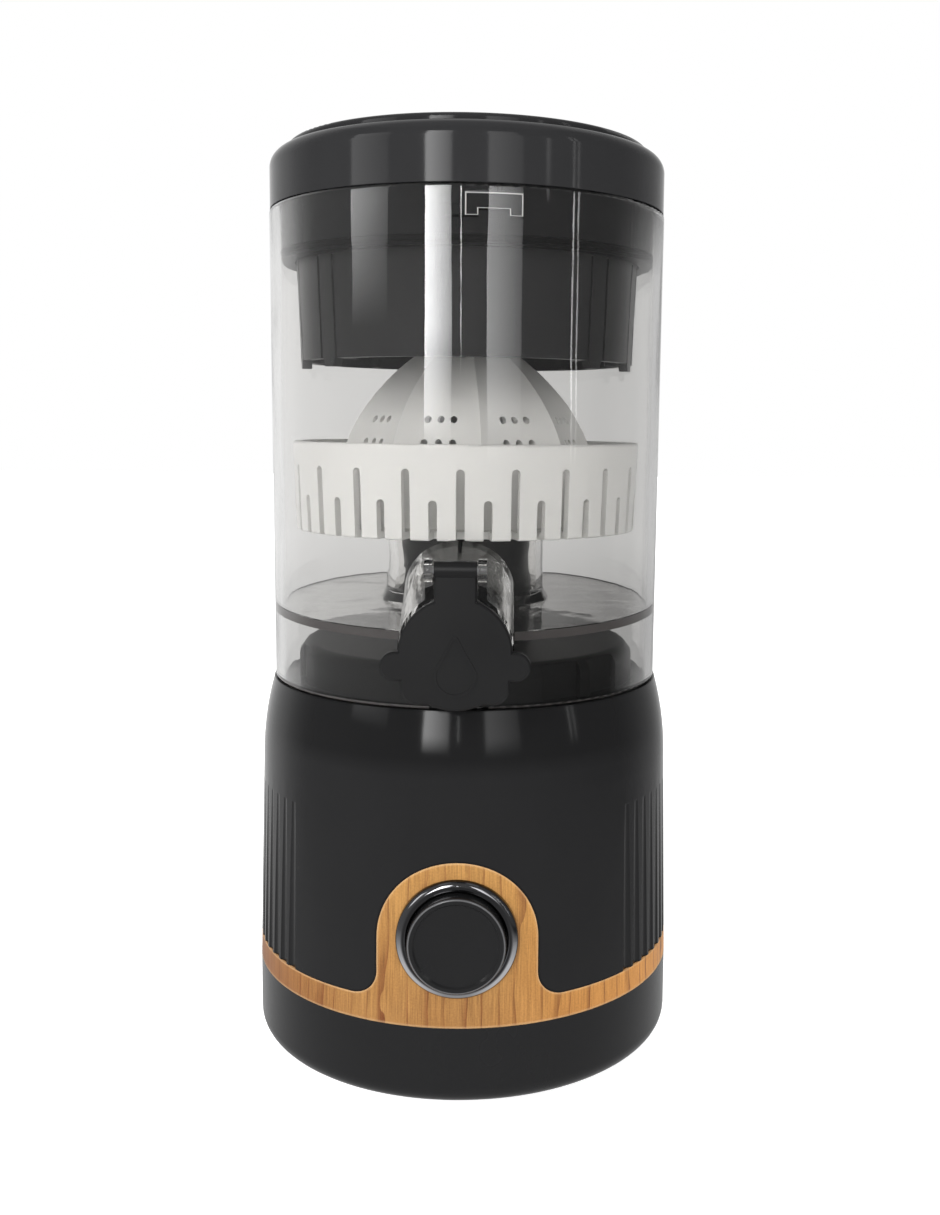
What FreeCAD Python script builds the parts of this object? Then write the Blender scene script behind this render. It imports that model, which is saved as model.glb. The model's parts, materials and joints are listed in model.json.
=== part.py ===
"""Cordless citrus press juicer in millimetres, +Z up, origin on the table under the axis, front facing -Y.

A motor base carries a clear juice cup. A reamer and its strainer turn inside the cup, and a sprung presser in
the lid holds the fruit down on the reamer.
"""

import FreeCAD, Part
import math
import os

V = FreeCAD.Vector
AXIS = V(0, 0, 1)

# Clearances
SEAT_GAP = 0.2            # under a piece that lifts off its seat
SLIDE_GAP = 0.3           # round a piece that slides
SNUG_GAP = 0.15           # round a piece that is pushed into place
RUN_GAP = 0.05            # round a shaft that turns
PRESS_GAP = 0.02          # round a piece that is pressed home

# Base shell
BASE_R = 62.0
BASE_CORNER = 5.0
WALL = 2.5
BAND_Z = 23.5
BAND_H = 7.0
TRIM_T = 1.5
TONGUE_H = 3.0
TONGUE_T = 1.2
SHOULDER_Z = 84.0
SHOULDER_DRAFT = 1.4
SHOULDER_KINK = 12.2
SHOULDER_ROUND = 86.0
SEAT_Z = 108.0
SEAT_STEP = 0.35
BOSS_CLEAR = 4.25
BOSS_H = 10.5
BOSS_WALL = 5.0
BOSS_ROUND = 4.0
TOWER_R = 19.0
TOWER_H = 38.0
TOWER_ROUND = 2.5
TOWER_CAP = 11.0

# Flutes on the sides and back of the base
FLUTE_R = 3.2
FLUTE_DEPTH = 0.7
FLUTE_PITCH = 4.5
FLUTE_SPAN = 264.0
FLUTE_END = 0.12
FLUTE_FADE = 6.0

# Keys that stop the cup turning on the base, and the base's notches for them and for other places of the cup
KEY_ANGLES = (150.0, 210.0)
NOTCH_ANGLES = (33.0, 51.5, 150.0, 210.0, 273.0, 291.5)
KEY_W = 12.0
KEY_DEPTH = 2.0

# Screws, feet and the pillars that take them
SCREW_R = 1.5
SCREW_HEAD_R = 2.8
SCREW_HEAD_H = 1.8
SCREW_SINK = 1.0
SCREW_BITE = 12.0
SMALL_SCREW_R = 1.1
SMALL_HEAD_R = 2.0
SMALL_HEAD_H = 1.2
SMALL_BITE = 4.5
PILLAR_INSET = 3.0
PILLAR_R = 4.2
POST_H = 6.0
FOOT_EDGE = 15.0
FOOT_R = 6.5
FOOT_PROUD = 1.5
FOOT_INSET = 1.2

# Button
BUTTON_Z = 47.7
BEZEL_R = 16.2
BEZEL_W = 2.9
BEZEL_EDGE = 1.7
BEZEL_PROUD = 1.4
BEZEL_SLEEVE = 1.0
BEZEL_TAIL = 3.0
BUTTON_PROUD = 5.0
BUTTON_SKIN = 2.4
BUTTON_DISH = 0.5
BUTTON_LIP = 1.5
BUTTON_TRAVEL = 1.5
STEM_R = 3.0
STEM_TAIL = 3.2
PLUNGER_R = 1.7
SWITCH_SIDE = 6.0
SWITCH_T = 3.5
ARCH_R = 21.5
ARCH_DROP = 0.9
ARCH_FOOT = 7.0

# Circuit boards, charging socket and battery
BOARD_T = 1.6
SWITCH_BOARD_H = 22.0
SWITCH_EDGE = 3.5
SWITCH_POST_R = 3.0
SWITCH_POST_GAP = 1.2
BOARD_W = 40.0
BOARD_L = 30.0
BOARD_GAP = 0.1
BOARD_EDGE = 4.0
STANDOFF_R = 2.6
STANDOFF_H = 6.0
SOCKET_W = 8.9
SOCKET_H = 3.2
SOCKET_L = 7.4
SOCKET_SKIN = 0.35
SOCKET_INSET = 0.5
SOCKET_TONGUE_W = 6.2
SOCKET_TONGUE_T = 0.7
SOCKET_BASE = 1.5
CELL_R = 9.25
CELL_L = 65.0
CELL_EDGE = 1.0
CELL_NUB_H = 1.2
CELL_INSET = 25.0
CELL_GAP = 1.25
CRADLE_WALL = 1.8
CRADLE_FLOOR = 2.0
CRADLE_H = 20.0

# Gear train
MODULE = 0.8
PRESSURE = math.radians(25.0)
ADDENDUM = 0.8
DEDENDUM = 1.05
BACKLASH = 0.1
PINION_TEETH = 12
SMALL_IDLER_TEETH = 14
IDLER_W = 6.0
OUTPUT_W = 8.0
GEAR_GAP = 1.0
STAGE_GAP = 2.5
CASE_WALL = 2.0
CASE_ROOF = 3.0
CASE_ROOM = 3.0
CASE_EAR_R = 4.6
CASE_EAR_T = 4.0
CASE_EAR_REACH = 3.2
CASE_EAR_ANGLE = 130.0
CASE_COLLAR_R = 10.0
CASE_COLLAR_H = 8.0
MOUNT_PILLAR = 20.0
PLATE_T = 3.0
AXLE_R = 2.0
AXLE_BITE = 2.0

# Motor and output shaft
MOTOR_R = 18.0
MOTOR_L = 46.0
MOTOR_FLAT = 15.5
MOTOR_EDGE = 2.0
MOTOR_BOSS_R = 6.3
MOTOR_SCREW_RING = 12.5
END_CAP_R = 17.0
END_CAP_H = 4.0
END_CAP_EDGE = 1.2
END_HUB_R = 5.0
END_HUB_H = 3.0
TERMINAL_X = 10.0
TERMINAL_W = 2.8
TERMINAL_T = 0.6
TERMINAL_H = 6.0
ROTOR_R = 1.6
SHAFT_R = 4.0
BUSH_R = 6.5
SEAL_H = 4.0
CLIP_R = 5.6
CLIP_T = 0.8
CLIP_GAP = 0.15
COUPLING_R = 8.5
COUPLING_TURN = 30.0
COUPLING_H = 13.0
COUPLING_GAP = 1.0
COUPLING_CROWN = 3.0

# Juice cup
RIM_RISE = 32.2
CUP_FOOT_R = 56.85
CUP_DRAFT = 0.55
CUP_WALL = 2.6
CUP_LIP = 0.8
FLOOR_RISE = 12.2
FLOOR_T = 2.6
FLOOR_TILT = 2.3
CHIMNEY_GAP = 1.9
CHIMNEY_WALL = 2.4
CHIMNEY_PROUD = 3.5
CHIMNEY_FLARE = 1.6
CHIMNEY_FLARE_H = 3.0

# Spout and flap
SPOUT_REACH = 21.0
SPOUT_DROP = 2.7
SPOUT_RISE = 10.6
SPOUT_R = 14.2
SPOUT_WALL = 2.2
HINGE_RISE = 5.4
PIN_R = 1.0
LUG_R = 2.7
LUG_T = 2.0
FLAP_T = 3.0
TAB_W = 10.4
KNUCKLE_R = 2.2
FLAP_R = 13.9
FLAP_DROP = 0.8
FLAP_EDGE = 0.5
FLAP_FOOT_W = 26.4
FLAP_FOOT_H = 13.2
FLAP_FOOT_ROUND = 4.0
EAR_SPAN = 36.6
EAR_DROP = 3.8
EAR_H = 7.2
PLUG_CLEAR = 0.8
PLUG_DRAFT = 1.2
PLUG_H = 2.0

# Bayonet that locks the lid to the cup
BAYONET_COUNT = 3
BAYONET_DEPTH = 0.9
TRACK_X = 1.0
TRACK_W = 14.5
TRACK_DROP = 1.9
TRACK_H = 4.1
TRACK_FOOT_W = 3.3
TRACK_FOOT_H = 1.7
TRACK_BEVEL = 0.5
ENTRY_W = 6.0
LID_LUG_W = 5.0
LID_LUG_H = 3.0
LID_LUG_PROUD = 0.6

# Reamer and strainer
STRAINER_DROP = 4.7
STRAINER_H = 25.4
STRAINER_CLEAR = 3.05
STRAINER_DRAFT = 1.0
STRAINER_WALL = 2.0
STRAINER_FLOOR = 2.0
COLLAR_GAP = 0.8
COLLAR_WALL = 2.0
COLLAR_H = 8.0
SLOT_PAIRS = 22
SLOT_W = 2.3
LONG_SLOT_H = 18.9
SHORT_SLOT_H = 10.7
SLOT_REACH = 6.6
PORT_R = 3.6
PORT_EDGE = 1.8
PULP_ROOM = 8.2
CONE_H = 56.5
CONE_BLUNT = 2.4
CONE_SWELL = 0.8
CONE_LEVELS = (0.0, 0.18, 0.36, 0.52, 0.67, 0.8, 0.91, 0.985)
CONE_RIDGES = 9
CONE_TURN = 8.0
CONE_VALLEY = 0.9
CONE_WALL = 2.4
HUB_WALL = 2.2
DRAIN_R = 1.0
DRAIN_STEP = 7.0
DRAIN_LEVELS = (23.4, 29.8)

# Lid and presser
LID_STEP = 0.2
LID_H = 16.2
LID_ROUND = 4.5
LID_SHOULDER = 4.9
LID_DISC_INSET = 1.5
LID_DISC_PROUD = 2.0
LID_DISC_ROUND = 1.2
CEILING_T = 2.2
SKIRT_CLEAR = 0.54
SKIRT_WALL = 2.2
SKIRT_DROP = 12.4
LID_SEAL_H = 1.8
LID_SEAL_W = 1.6
RETAINER_LIP = 0.8
PRESSER_CLEAR = 0.5
PRESSER_DRAFT = 1.3
PRESSER_H = 30.6
PRESSER_WALL = 2.6
PRESSER_TOP_T = 3.0
FLANGE_W = 1.5
FLANGE_H = 2.0
BOWL_ROUND = 26.0
FIN_COUNT = 8
FIN_T = 1.6
FIN_H = 5.0
CLAW_ANGLES = (-73.5, -47.5, 46.5, 72.5, 166.5, 192.5)
CLAW_W = 5.4
CLAW_H = 2.2
CLAW_GROOVE_W = 1.1
CLAW_GROOVE_DEPTH = 0.6
SPRING_R = 15.0
SPRING_WIRE_R = 0.8
SPRING_TURNS = 3.5
SPRING_SEAT_WALL = 2.0
SPRING_SEAT_H = 3.0

# Places that follow from the sizes above
shoulder_r = BASE_R - SHOULDER_DRAFT
seat_r = CUP_FOOT_R + SEAT_STEP
boss_r = CUP_FOOT_R - CUP_WALL - BOSS_CLEAR
band_top = BAND_Z + BAND_H
shell_floor = FOOT_PROUD + WALL
foot_top = FOOT_PROUD + FOOT_INSET
post_top = shell_floor + POST_H
boss_z = SEAT_Z + BOSS_H
deck_z = boss_z - WALL
tower_z = boss_z + TOWER_H
gear_room = BASE_R - WALL - CASE_ROOM - CASE_WALL - GEAR_GAP
idler_teeth = 2 * int((gear_room / MODULE - PINION_TEETH / 2 - ADDENDUM) / 2)
output_teeth = PINION_TEETH + idler_teeth - SMALL_IDLER_TEETH
gear_centre = MODULE * (PINION_TEETH + idler_teeth) / 2
case_r = MODULE * (idler_teeth / 2 + ADDENDUM) + GEAR_GAP + CASE_WALL
case_top = deck_z - MOUNT_PILLAR
case_ceiling = case_top - CASE_ROOF
output_top = case_ceiling - GEAR_GAP
output_z = output_top - OUTPUT_W
idler_top = output_z - STAGE_GAP
idler_z = idler_top - IDLER_W
plate_top = idler_z - GEAR_GAP
plate_z = plate_top - PLATE_T
motor_z = plate_z - MOTOR_L
coupling_z = tower_z + COUPLING_GAP
coupling_top = coupling_z + COUPLING_H
bush_top = tower_z - SEAL_H - CLIP_T - 2 * CLIP_GAP
cup_z = SEAT_Z + SEAT_GAP
floor_z = boss_z + FLOOR_RISE
chimney_r = TOWER_R + CHIMNEY_GAP + CHIMNEY_WALL
chimney_top = tower_z + CHIMNEY_PROUD
strainer_z = tower_z - STRAINER_DROP
strainer_top = strainer_z + STRAINER_H
strainer_rim_r = CUP_FOOT_R - CUP_WALL - STRAINER_CLEAR
strainer_foot_r = strainer_rim_r - STRAINER_DRAFT
cone_z = strainer_z + STRAINER_FLOOR
cone_foot_r = strainer_foot_r - STRAINER_WALL - PULP_ROOM
rim_z = cone_z + CONE_H + RIM_RISE
cup_rim_r = CUP_FOOT_R + CUP_DRAFT
lid_r = cup_rim_r - LID_STEP
lid_disc_r = lid_r - LID_SHOULDER
lid_z = rim_z + SEAT_GAP
lid_top = lid_z + LID_H
ceiling_top = lid_top - LID_DISC_INSET
ceiling_z = ceiling_top - CEILING_T
skirt_z = lid_z - SKIRT_DROP
seal_z = skirt_z - LID_SEAL_H
retainer_z = seal_z - RETAINER_LIP
flange_z = skirt_z + SEAT_GAP
flange_top = flange_z + FLANGE_H
presser_z = flange_z - PRESSER_H
tiny = 1e-6


def wall_r(z):
    """Outer radius of the housing's straight wall at a height."""
    return BASE_R + (shoulder_r - BASE_R) * (z - BAND_Z) / (SHOULDER_Z - BAND_Z)


def cup_r(z):
    """Outer radius of the cup's wall at a height."""
    return CUP_FOOT_R + CUP_DRAFT * (z - cup_z) / (rim_z - cup_z)


seal_out = cup_r(seal_z) - CUP_WALL - SLIDE_GAP
seal_in = seal_out - LID_SEAL_W
skirt_r = cup_r(retainer_z) - CUP_WALL - SKIRT_CLEAR
presser_r = skirt_r - SKIRT_WALL - FLANGE_W - PRESSER_CLEAR
presser_foot_r = presser_r - PRESSER_DRAFT


def outline(corners, place):
    """Face inside a closed run of (a, b, radius) corners, rounded where their sides leave room."""
    count = len(corners)
    points = [V(a, b, 0) for a, b, radius in corners]
    rounded = []
    for i in range(count):
        here = points[i]
        radius = corners[i][2]
        if not radius:
            rounded.append((here, None, here))
            continue
        back = points[i - 1] - here
        ahead = points[(i + 1) % count] - here
        room_back = back.Length * radius / (radius + corners[i - 1][2])
        room_ahead = ahead.Length * radius / (radius + corners[(i + 1) % count][2])
        half = back.getAngle(ahead) / 2
        reach = min(radius / math.tan(half), room_back, room_ahead)
        radius = reach * math.tan(half)
        back.normalize()
        ahead.normalize()
        inward = (back + ahead).normalize()
        bulge = radius / math.sin(half) - radius
        rounded.append((here + back * reach, here + inward * bulge, here + ahead * reach))
    edges = []
    for i in range(count):
        start, middle, end = rounded[i]
        if middle:
            edges.append(Part.Arc(place(start), place(middle), place(end)).toShape())
        after = rounded[(i + 1) % count][0]
        if end.distanceToPoint(after) > tiny:
            edges.append(Part.makeLine(place(end), place(after)))
    return Part.Face(Part.Wire(edges))


def spin(corners):
    """Solid turned about the Z axis from (radius, height, corner radius) corners."""
    return outline(corners, lambda p: V(p.x, 0, p.y)).revolve(V(), AXIS, 360)


def prism(corners, z, top):
    """Solid raised from an outline in plan."""
    return outline(corners, lambda p: V(p.x, p.y, z)).extrude(AXIS * (top - z))


def front_prism(corners, y, far):
    """Solid drawn back from an outline seen from the front."""
    return outline(corners, lambda p: V(p.x, y, p.y)).extrude(V(0, far - y, 0))


def side_prism(corners, x, far):
    """Solid drawn across from an outline seen from the side."""
    return outline(corners, lambda p: V(x, p.x, p.y)).extrude(V(far - x, 0, 0))


def upright(half, low, high, corner=0):
    """Corners of an upright rectangle about the middle, for a prism seen from the front or in plan."""
    return [(-half, low, corner), (half, low, corner), (half, high, corner), (-half, high, corner)]


def button_spin(corners):
    """Solid turned about the button's axis from (radius, y, corner radius) corners."""
    face = outline(corners, lambda p: V(p.x, p.y, BUTTON_Z))
    return face.revolve(V(0, 0, BUTTON_Z), V(0, 1, 0), 360)


def rod(radius, z, top, x=0.0, y=0.0):
    return Part.makeCylinder(radius, top - z, V(x, y, z))


def front_rod(radius, y, far, x, z):
    return Part.makeCylinder(radius, far - y, V(x, y, z), V(0, 1, 0))


def tube(inner, outer, z, top, x=0.0, y=0.0):
    return rod(outer, z, top, x, y).cut(rod(inner, z, top, x, y))


def stadium(x, far, radius, z, top):
    """Prism round two equal circles on a line along X."""
    plan = upright((far - x) / 2 + radius, -radius, radius, radius)
    return prism(plan, z, top).translated(V((x + far) / 2, 0, 0))


def turned(shape, degrees):
    copy = shape.copy()
    copy.rotate(V(), AXIS, degrees)
    return copy


def ring_of(shape, count, start=0.0):
    return [turned(shape, start + 360.0 * i / count) for i in range(count)]


def joined(shapes):
    return shapes[0].multiFuse(shapes[1:]).removeSplitter()


def around(radius, count, start):
    """Evenly spaced (x, y) places on a circle."""
    angles = [math.radians(start + 360.0 * i / count) for i in range(count)]
    return [(radius * math.cos(angle), radius * math.sin(angle)) for angle in angles]


def screw(x, y, seat, bite, way=1, radius=SCREW_R, head_r=SCREW_HEAD_R, head_h=SCREW_HEAD_H):
    """Plain screw whose head rests on a seat height; way is 1 for a screw driven upwards and -1 downwards."""
    shank = Part.makeCylinder(radius, bite, V(x, y, seat), AXIS * way)
    head = Part.makeCylinder(head_r, head_h, V(x, y, seat), AXIS * -way)
    return joined([shank, head])


pillar_places = around(boss_r - PILLAR_INSET, 4, 45.0)
foot_places = around(BASE_R - FOOT_EDGE, 4, 0.0)
ear_ring = case_r + CASE_EAR_REACH
ear_side = math.radians(CASE_EAR_ANGLE)
ear_x = (ear_ring * math.cos(ear_side), gear_centre / 2)
ear_y = (ear_ring * math.sin(ear_side), ear_ring)
ear_places = [(x, side * y) for x, y in zip(ear_x, ear_y) for side in (-1, 1)]
plate_boss_r = SMALL_SCREW_R + CASE_WALL
plate_boss_y = case_r - CASE_WALL - SMALL_SCREW_R
plate_ear_x = -case_r - SMALL_SCREW_R
plate_screw_places = [(gear_centre / 2, -plate_boss_y), (gear_centre / 2, plate_boss_y), (plate_ear_x, 0.0)]
motor_screw_places = [(0.0, -MOTOR_SCREW_RING), (0.0, MOTOR_SCREW_RING)]
board_z = shell_floor + STANDOFF_H
board_x = BOARD_W / 2 - BOARD_EDGE
socket_end = BASE_R - SOCKET_INSET
board_y = socket_end - SOCKET_L - BOARD_GAP - BOARD_L
board_rows = (board_y + BOARD_EDGE, board_y + BOARD_L - BOARD_EDGE)
standoff_places = [(x, y) for x in (-board_x, board_x) for y in board_rows]
screw_seat = FOOT_PROUD + SCREW_HEAD_H + SCREW_SINK
socket_z = board_z + BOARD_T + SOCKET_H / 2
cell_x = CELL_INSET - BASE_R
cell_half = CELL_R + CELL_GAP

# Button stack, from the face back to its board
button_wall = wall_r(BUTTON_Z)
bezel_in = BEZEL_R - BEZEL_W
sleeve_r = bezel_in + BEZEL_SLEEVE
bezel_front = -button_wall - BEZEL_PROUD
bezel_back = -button_wall + WALL + BEZEL_TAIL
button_r = bezel_in - SLIDE_GAP
button_face = -button_wall - BUTTON_PROUD
lip_front = bezel_back + SEAT_GAP
lip_back = lip_front + BUTTON_LIP
stem_end = bezel_back + STEM_TAIL
switch_front = stem_end + BUTTON_TRAVEL + SLIDE_GAP
switch_back = switch_front + SWITCH_T
plunger_end = switch_back - BUTTON_TRAVEL - SLIDE_GAP
switch_post_x = sleeve_r + SWITCH_POST_GAP + SWITCH_POST_R
switch_post_places = (-switch_post_x, switch_post_x)

# Spout's end and the flap's hinge
spout_end = -CUP_FOOT_R - SPOUT_REACH
spout_end_z = floor_z - SPOUT_DROP
hinge_z = spout_end_z + SPOUT_R + HINGE_RISE
flap_back = spout_end - SLIDE_GAP
flap_front = flap_back - FLAP_T
hinge_y = (flap_back + flap_front) / 2
lug_in = TAB_W / 2 + SLIDE_GAP
lug_out = lug_in + LUG_T


def envelope():
    """Everything inside the housing's straight wall."""
    low, high = wall_r(BAND_Z), wall_r(SHOULDER_Z)
    return spin([(0, BAND_Z, 0), (low, BAND_Z, 0), (high, SHOULDER_Z, 0), (0, SHOULDER_Z, 0)])


def trim_blank():
    """Wood band and arch as one skin that follows the housing's wall."""
    low, high = wall_r(BAND_Z), wall_r(SHOULDER_Z)
    top = wall_r(band_top)
    back = low - TRIM_T
    skin = spin([(low, BAND_Z, 0), (high, SHOULDER_Z, 0), (high - TRIM_T, SHOULDER_Z, 0), (back, BAND_Z, 0)])
    band = spin([(low, BAND_Z, 0), (top, band_top, 0), (top - TRIM_T, band_top, 0), (back, BAND_Z, 0)])
    foot = ARCH_R + ARCH_FOOT
    arch_top = BUTTON_Z - ARCH_DROP + ARCH_R
    arch = [(-foot, band_top, 0), (-ARCH_R, band_top, ARCH_FOOT), (-ARCH_R, arch_top, ARCH_R),
            (ARCH_R, arch_top, ARCH_R), (ARCH_R, band_top, ARCH_FOOT), (foot, band_top, 0),
            (foot, BAND_Z, 0), (-foot, BAND_Z, 0)]
    front = front_prism(arch, -BASE_R - WALL, -BASE_R / 2)
    return joined([band, skin.common(front)])


def button_hole():
    return front_rod(sleeve_r + RUN_GAP, -BASE_R - WALL, lip_front, 0, BUTTON_Z)


def motor_housing():
    kink = SHOULDER_Z + SHOULDER_KINK
    seat_in = seat_r - WALL
    outside = [(BASE_R, BAND_Z, 0), (shoulder_r, SHOULDER_Z, 0), (shoulder_r, kink, SHOULDER_ROUND),
               (seat_r, SEAT_Z, 0), (boss_r, SEAT_Z, 0), (boss_r, boss_z, BOSS_ROUND),
               (TOWER_R, boss_z, TOWER_ROUND), (TOWER_R, tower_z, TOWER_ROUND)]
    bore = BUSH_R + PRESS_GAP
    tower_in = TOWER_R - WALL
    boss_in = boss_r - BOSS_WALL
    inside = [(bore, tower_z, 0), (bore, tower_z - TOWER_CAP, 0), (tower_in, tower_z - TOWER_CAP, 0),
              (tower_in, deck_z, 0), (boss_in, deck_z, 0), (boss_in, SEAT_Z - WALL, 0),
              (seat_in, SEAT_Z - WALL, 0), (shoulder_r - WALL, kink, 0), (shoulder_r - WALL, SHOULDER_Z, 0),
              (BASE_R - WALL, BAND_Z, 0)]
    shell = spin(outside + inside)
    pillars = [rod(PILLAR_R, post_top, SEAT_Z - WALL / 2, x, y) for x, y in pillar_places]
    mounts = [rod(CASE_EAR_R, case_top, boss_z - WALL / 2, x, y) for x, y in ear_places]
    post_root = -math.sqrt((button_wall - WALL) ** 2 - switch_post_x ** 2) - WALL / 3
    posts = [front_rod(SWITCH_POST_R, post_root, switch_back, x, BUTTON_Z) for x in switch_post_places]
    shell = joined([shell] + pillars + mounts + posts)
    pillar_bite = screw_seat + SCREW_BITE + SCREW_SINK
    mount_bite = case_top - CASE_EAR_T + SCREW_BITE + SCREW_SINK
    pilots = [rod(SCREW_R + PRESS_GAP, post_top, pillar_bite, x, y) for x, y in pillar_places]
    pilots += [rod(SCREW_R + PRESS_GAP, case_top, mount_bite, x, y) for x, y in ear_places]
    pilots += [front_rod(SMALL_SCREW_R + PRESS_GAP, switch_back - SMALL_BITE, switch_back, x, BUTTON_Z)
               for x in switch_post_places]
    notch = front_prism(upright(KEY_W / 2, SEAT_Z, boss_z), -boss_r - KEY_DEPTH, -boss_r + KEY_DEPTH)
    notches = [turned(notch, angle) for angle in NOTCH_ANGLES]
    return shell.cut(pilots + notches + [trim_blank(), button_hole()] + flutes())


def flutes():
    """Round cutters that lean out of the wall and so fade upwards, spread evenly to both sides of the back."""
    top = SHOULDER_Z - FLUTE_FADE
    low = V(0, wall_r(BAND_Z) + FLUTE_R - FLUTE_DEPTH, BAND_Z)
    high = V(0, wall_r(top) + FLUTE_R - FLUTE_END, top)
    cutter = Part.makeCylinder(FLUTE_R, (high - low).Length, low, high - low)
    side = int(FLUTE_SPAN / 2 / FLUTE_PITCH)
    return [turned(cutter, FLUTE_PITCH * i) for i in range(-side, side + 1)]


def bottom_shell():
    inner = BASE_R - WALL
    tongue = inner - SNUG_GAP
    profile = [(0, FOOT_PROUD, 0), (BASE_R, FOOT_PROUD, BASE_CORNER), (BASE_R, BAND_Z, 0),
               (tongue, BAND_Z, 0), (tongue, BAND_Z + TONGUE_H, 0), (tongue - TONGUE_T, BAND_Z + TONGUE_H, 0),
               (tongue - TONGUE_T, BAND_Z - TONGUE_H, 0), (inner, BAND_Z - TONGUE_H - TONGUE_T, 0),
               (inner, shell_floor, BASE_CORNER), (0, shell_floor, 0)]
    posts = [rod(PILLAR_R, FOOT_PROUD, post_top, x, y) for x, y in pillar_places]
    standoffs = [rod(STANDOFF_R, FOOT_PROUD, board_z, x, y) for x, y in standoff_places]
    shell = joined([spin(profile)] + posts + standoffs)
    holes = [rod(SCREW_R + SNUG_GAP, FOOT_PROUD, post_top, x, y) for x, y in pillar_places]
    holes += [rod(SCREW_HEAD_R + SNUG_GAP, FOOT_PROUD, screw_seat, x, y) for x, y in pillar_places]
    holes += [rod(SMALL_SCREW_R + PRESS_GAP, board_z - SMALL_BITE, board_z, x, y) for x, y in standoff_places]
    holes += [rod(FOOT_R + PRESS_GAP, FOOT_PROUD, foot_top, x, y) for x, y in foot_places]
    holes.append(front_prism(socket_outline(SNUG_GAP), socket_end - SOCKET_L, BASE_R + WALL))
    return shell.cut(holes)


def socket_outline(grow):
    """Rounded slot of the charging socket, grown all round."""
    half = SOCKET_H / 2 + grow
    return upright(SOCKET_W / 2 + grow, socket_z - half, socket_z + half, half)


def wood_trim():
    return trim_blank().cut(button_hole())


def rubber_feet():
    pad = spin([(0, 0, 0), (FOOT_R, 0, FOOT_PROUD / 2), (FOOT_R, foot_top, 0), (0, foot_top, 0)])
    return Part.makeCompound([pad.translated(V(x, y, 0)) for x, y in foot_places])


def bottom_screws():
    return Part.makeCompound([screw(x, y, screw_seat, SCREW_BITE) for x, y in pillar_places])


def button_bezel():
    flange = button_spin([(sleeve_r, bezel_front, 0), (BEZEL_R, bezel_front, BEZEL_EDGE),
                          (BEZEL_R, -BASE_R / 2, 0), (sleeve_r, -BASE_R / 2, 0)]).cut(envelope())
    sleeve = button_spin([(bezel_in, bezel_front, BEZEL_SLEEVE / 2), (sleeve_r, bezel_front, 0),
                          (sleeve_r, bezel_back, 0), (bezel_in, bezel_back, 0)])
    return joined([flange, sleeve])


def power_button():
    rim = button_r - BUTTON_LIP
    under = button_face + BUTTON_SKIN
    return button_spin([(0, button_face + BUTTON_DISH, 0), (rim - BUTTON_DISH, button_face + BUTTON_DISH, 0),
                        (rim, button_face, 0), (button_r, button_face, BUTTON_LIP / 2),
                        (button_r, lip_front, 0), (sleeve_r, lip_front, 0), (sleeve_r, lip_back, 0),
                        (rim, lip_back, 0), (rim, under, 0), (STEM_R, under, 0), (STEM_R, stem_end, 0),
                        (0, stem_end, 0)])


def switch_plunger():
    return front_rod(PLUNGER_R, stem_end, plunger_end, 0, BUTTON_Z)


def push_switch():
    half = SWITCH_SIDE / 2
    face = upright(half, BUTTON_Z - half, BUTTON_Z + half, PLUNGER_R / 2)
    body = front_prism(face, switch_front, switch_back)
    return body.cut(front_rod(PLUNGER_R + RUN_GAP, switch_front, switch_back - SLIDE_GAP, 0, BUTTON_Z))


def switch_board():
    half = SWITCH_BOARD_H / 2
    face = upright(switch_post_x + SWITCH_EDGE, BUTTON_Z - half, BUTTON_Z + half, SWITCH_POST_R)
    board = front_prism(face, switch_back, switch_back + BOARD_T)
    return board.cut([front_rod(SMALL_SCREW_R + SNUG_GAP, switch_back, switch_back + BOARD_T, x, BUTTON_Z)
                      for x in switch_post_places])


def control_board():
    top = board_z + BOARD_T
    board = prism(upright(BOARD_W / 2, board_y, board_y + BOARD_L, STANDOFF_R), board_z, top)
    return board.cut([rod(SMALL_SCREW_R + SNUG_GAP, board_z, top, x, y) for x, y in standoff_places])


def small_screw(x, y, seat, bite, way):
    return screw(x, y, seat, bite, way, SMALL_SCREW_R, SMALL_HEAD_R, SMALL_HEAD_H)


def board_screws():
    bite = BOARD_T + SMALL_BITE
    screws = [small_screw(x, y, board_z + BOARD_T, bite, -1) for x, y in standoff_places]
    for x in switch_post_places:
        flat = small_screw(0, 0, 0, bite, -1)
        flat.rotate(V(), V(1, 0, 0), -90)
        screws.append(flat.translated(V(x, switch_back + BOARD_T, BUTTON_Z)))
    return Part.makeCompound(screws)


def charging_socket():
    start = socket_end - SOCKET_L
    shell = front_prism(socket_outline(0), start, socket_end)
    hollow = front_prism(socket_outline(-SOCKET_SKIN), start + SOCKET_BASE, socket_end)
    half = SOCKET_TONGUE_T / 2
    blade = upright(SOCKET_TONGUE_W / 2, socket_z - half, socket_z + half)
    tongue = front_prism(blade, start, socket_end - SOCKET_BASE)
    return joined([shell.cut(hollow), tongue])


def battery_cells():
    nub = CELL_R / 3
    z = shell_floor + CRADLE_FLOOR
    top = z + CELL_L
    cell = spin([(0, z, 0), (CELL_R, z, CELL_EDGE), (CELL_R, top, CELL_EDGE), (nub, top, 0),
                 (nub, top + CELL_NUB_H, 0), (0, top + CELL_NUB_H, 0)])
    return Part.makeCompound([cell.translated(V(cell_x, side * cell_half, 0)) for side in (-1, 1)])


def battery_cradle():
    bore = CELL_R + SNUG_GAP
    top = shell_floor + CRADLE_H
    block = turned(stadium(-cell_half, cell_half, bore + CRADLE_WALL, shell_floor, top), 90)
    block.translate(V(cell_x, 0, 0))
    return block.cut([rod(bore, shell_floor + CRADLE_FLOOR, top, cell_x, y) for y in (-cell_half, cell_half)])


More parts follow.
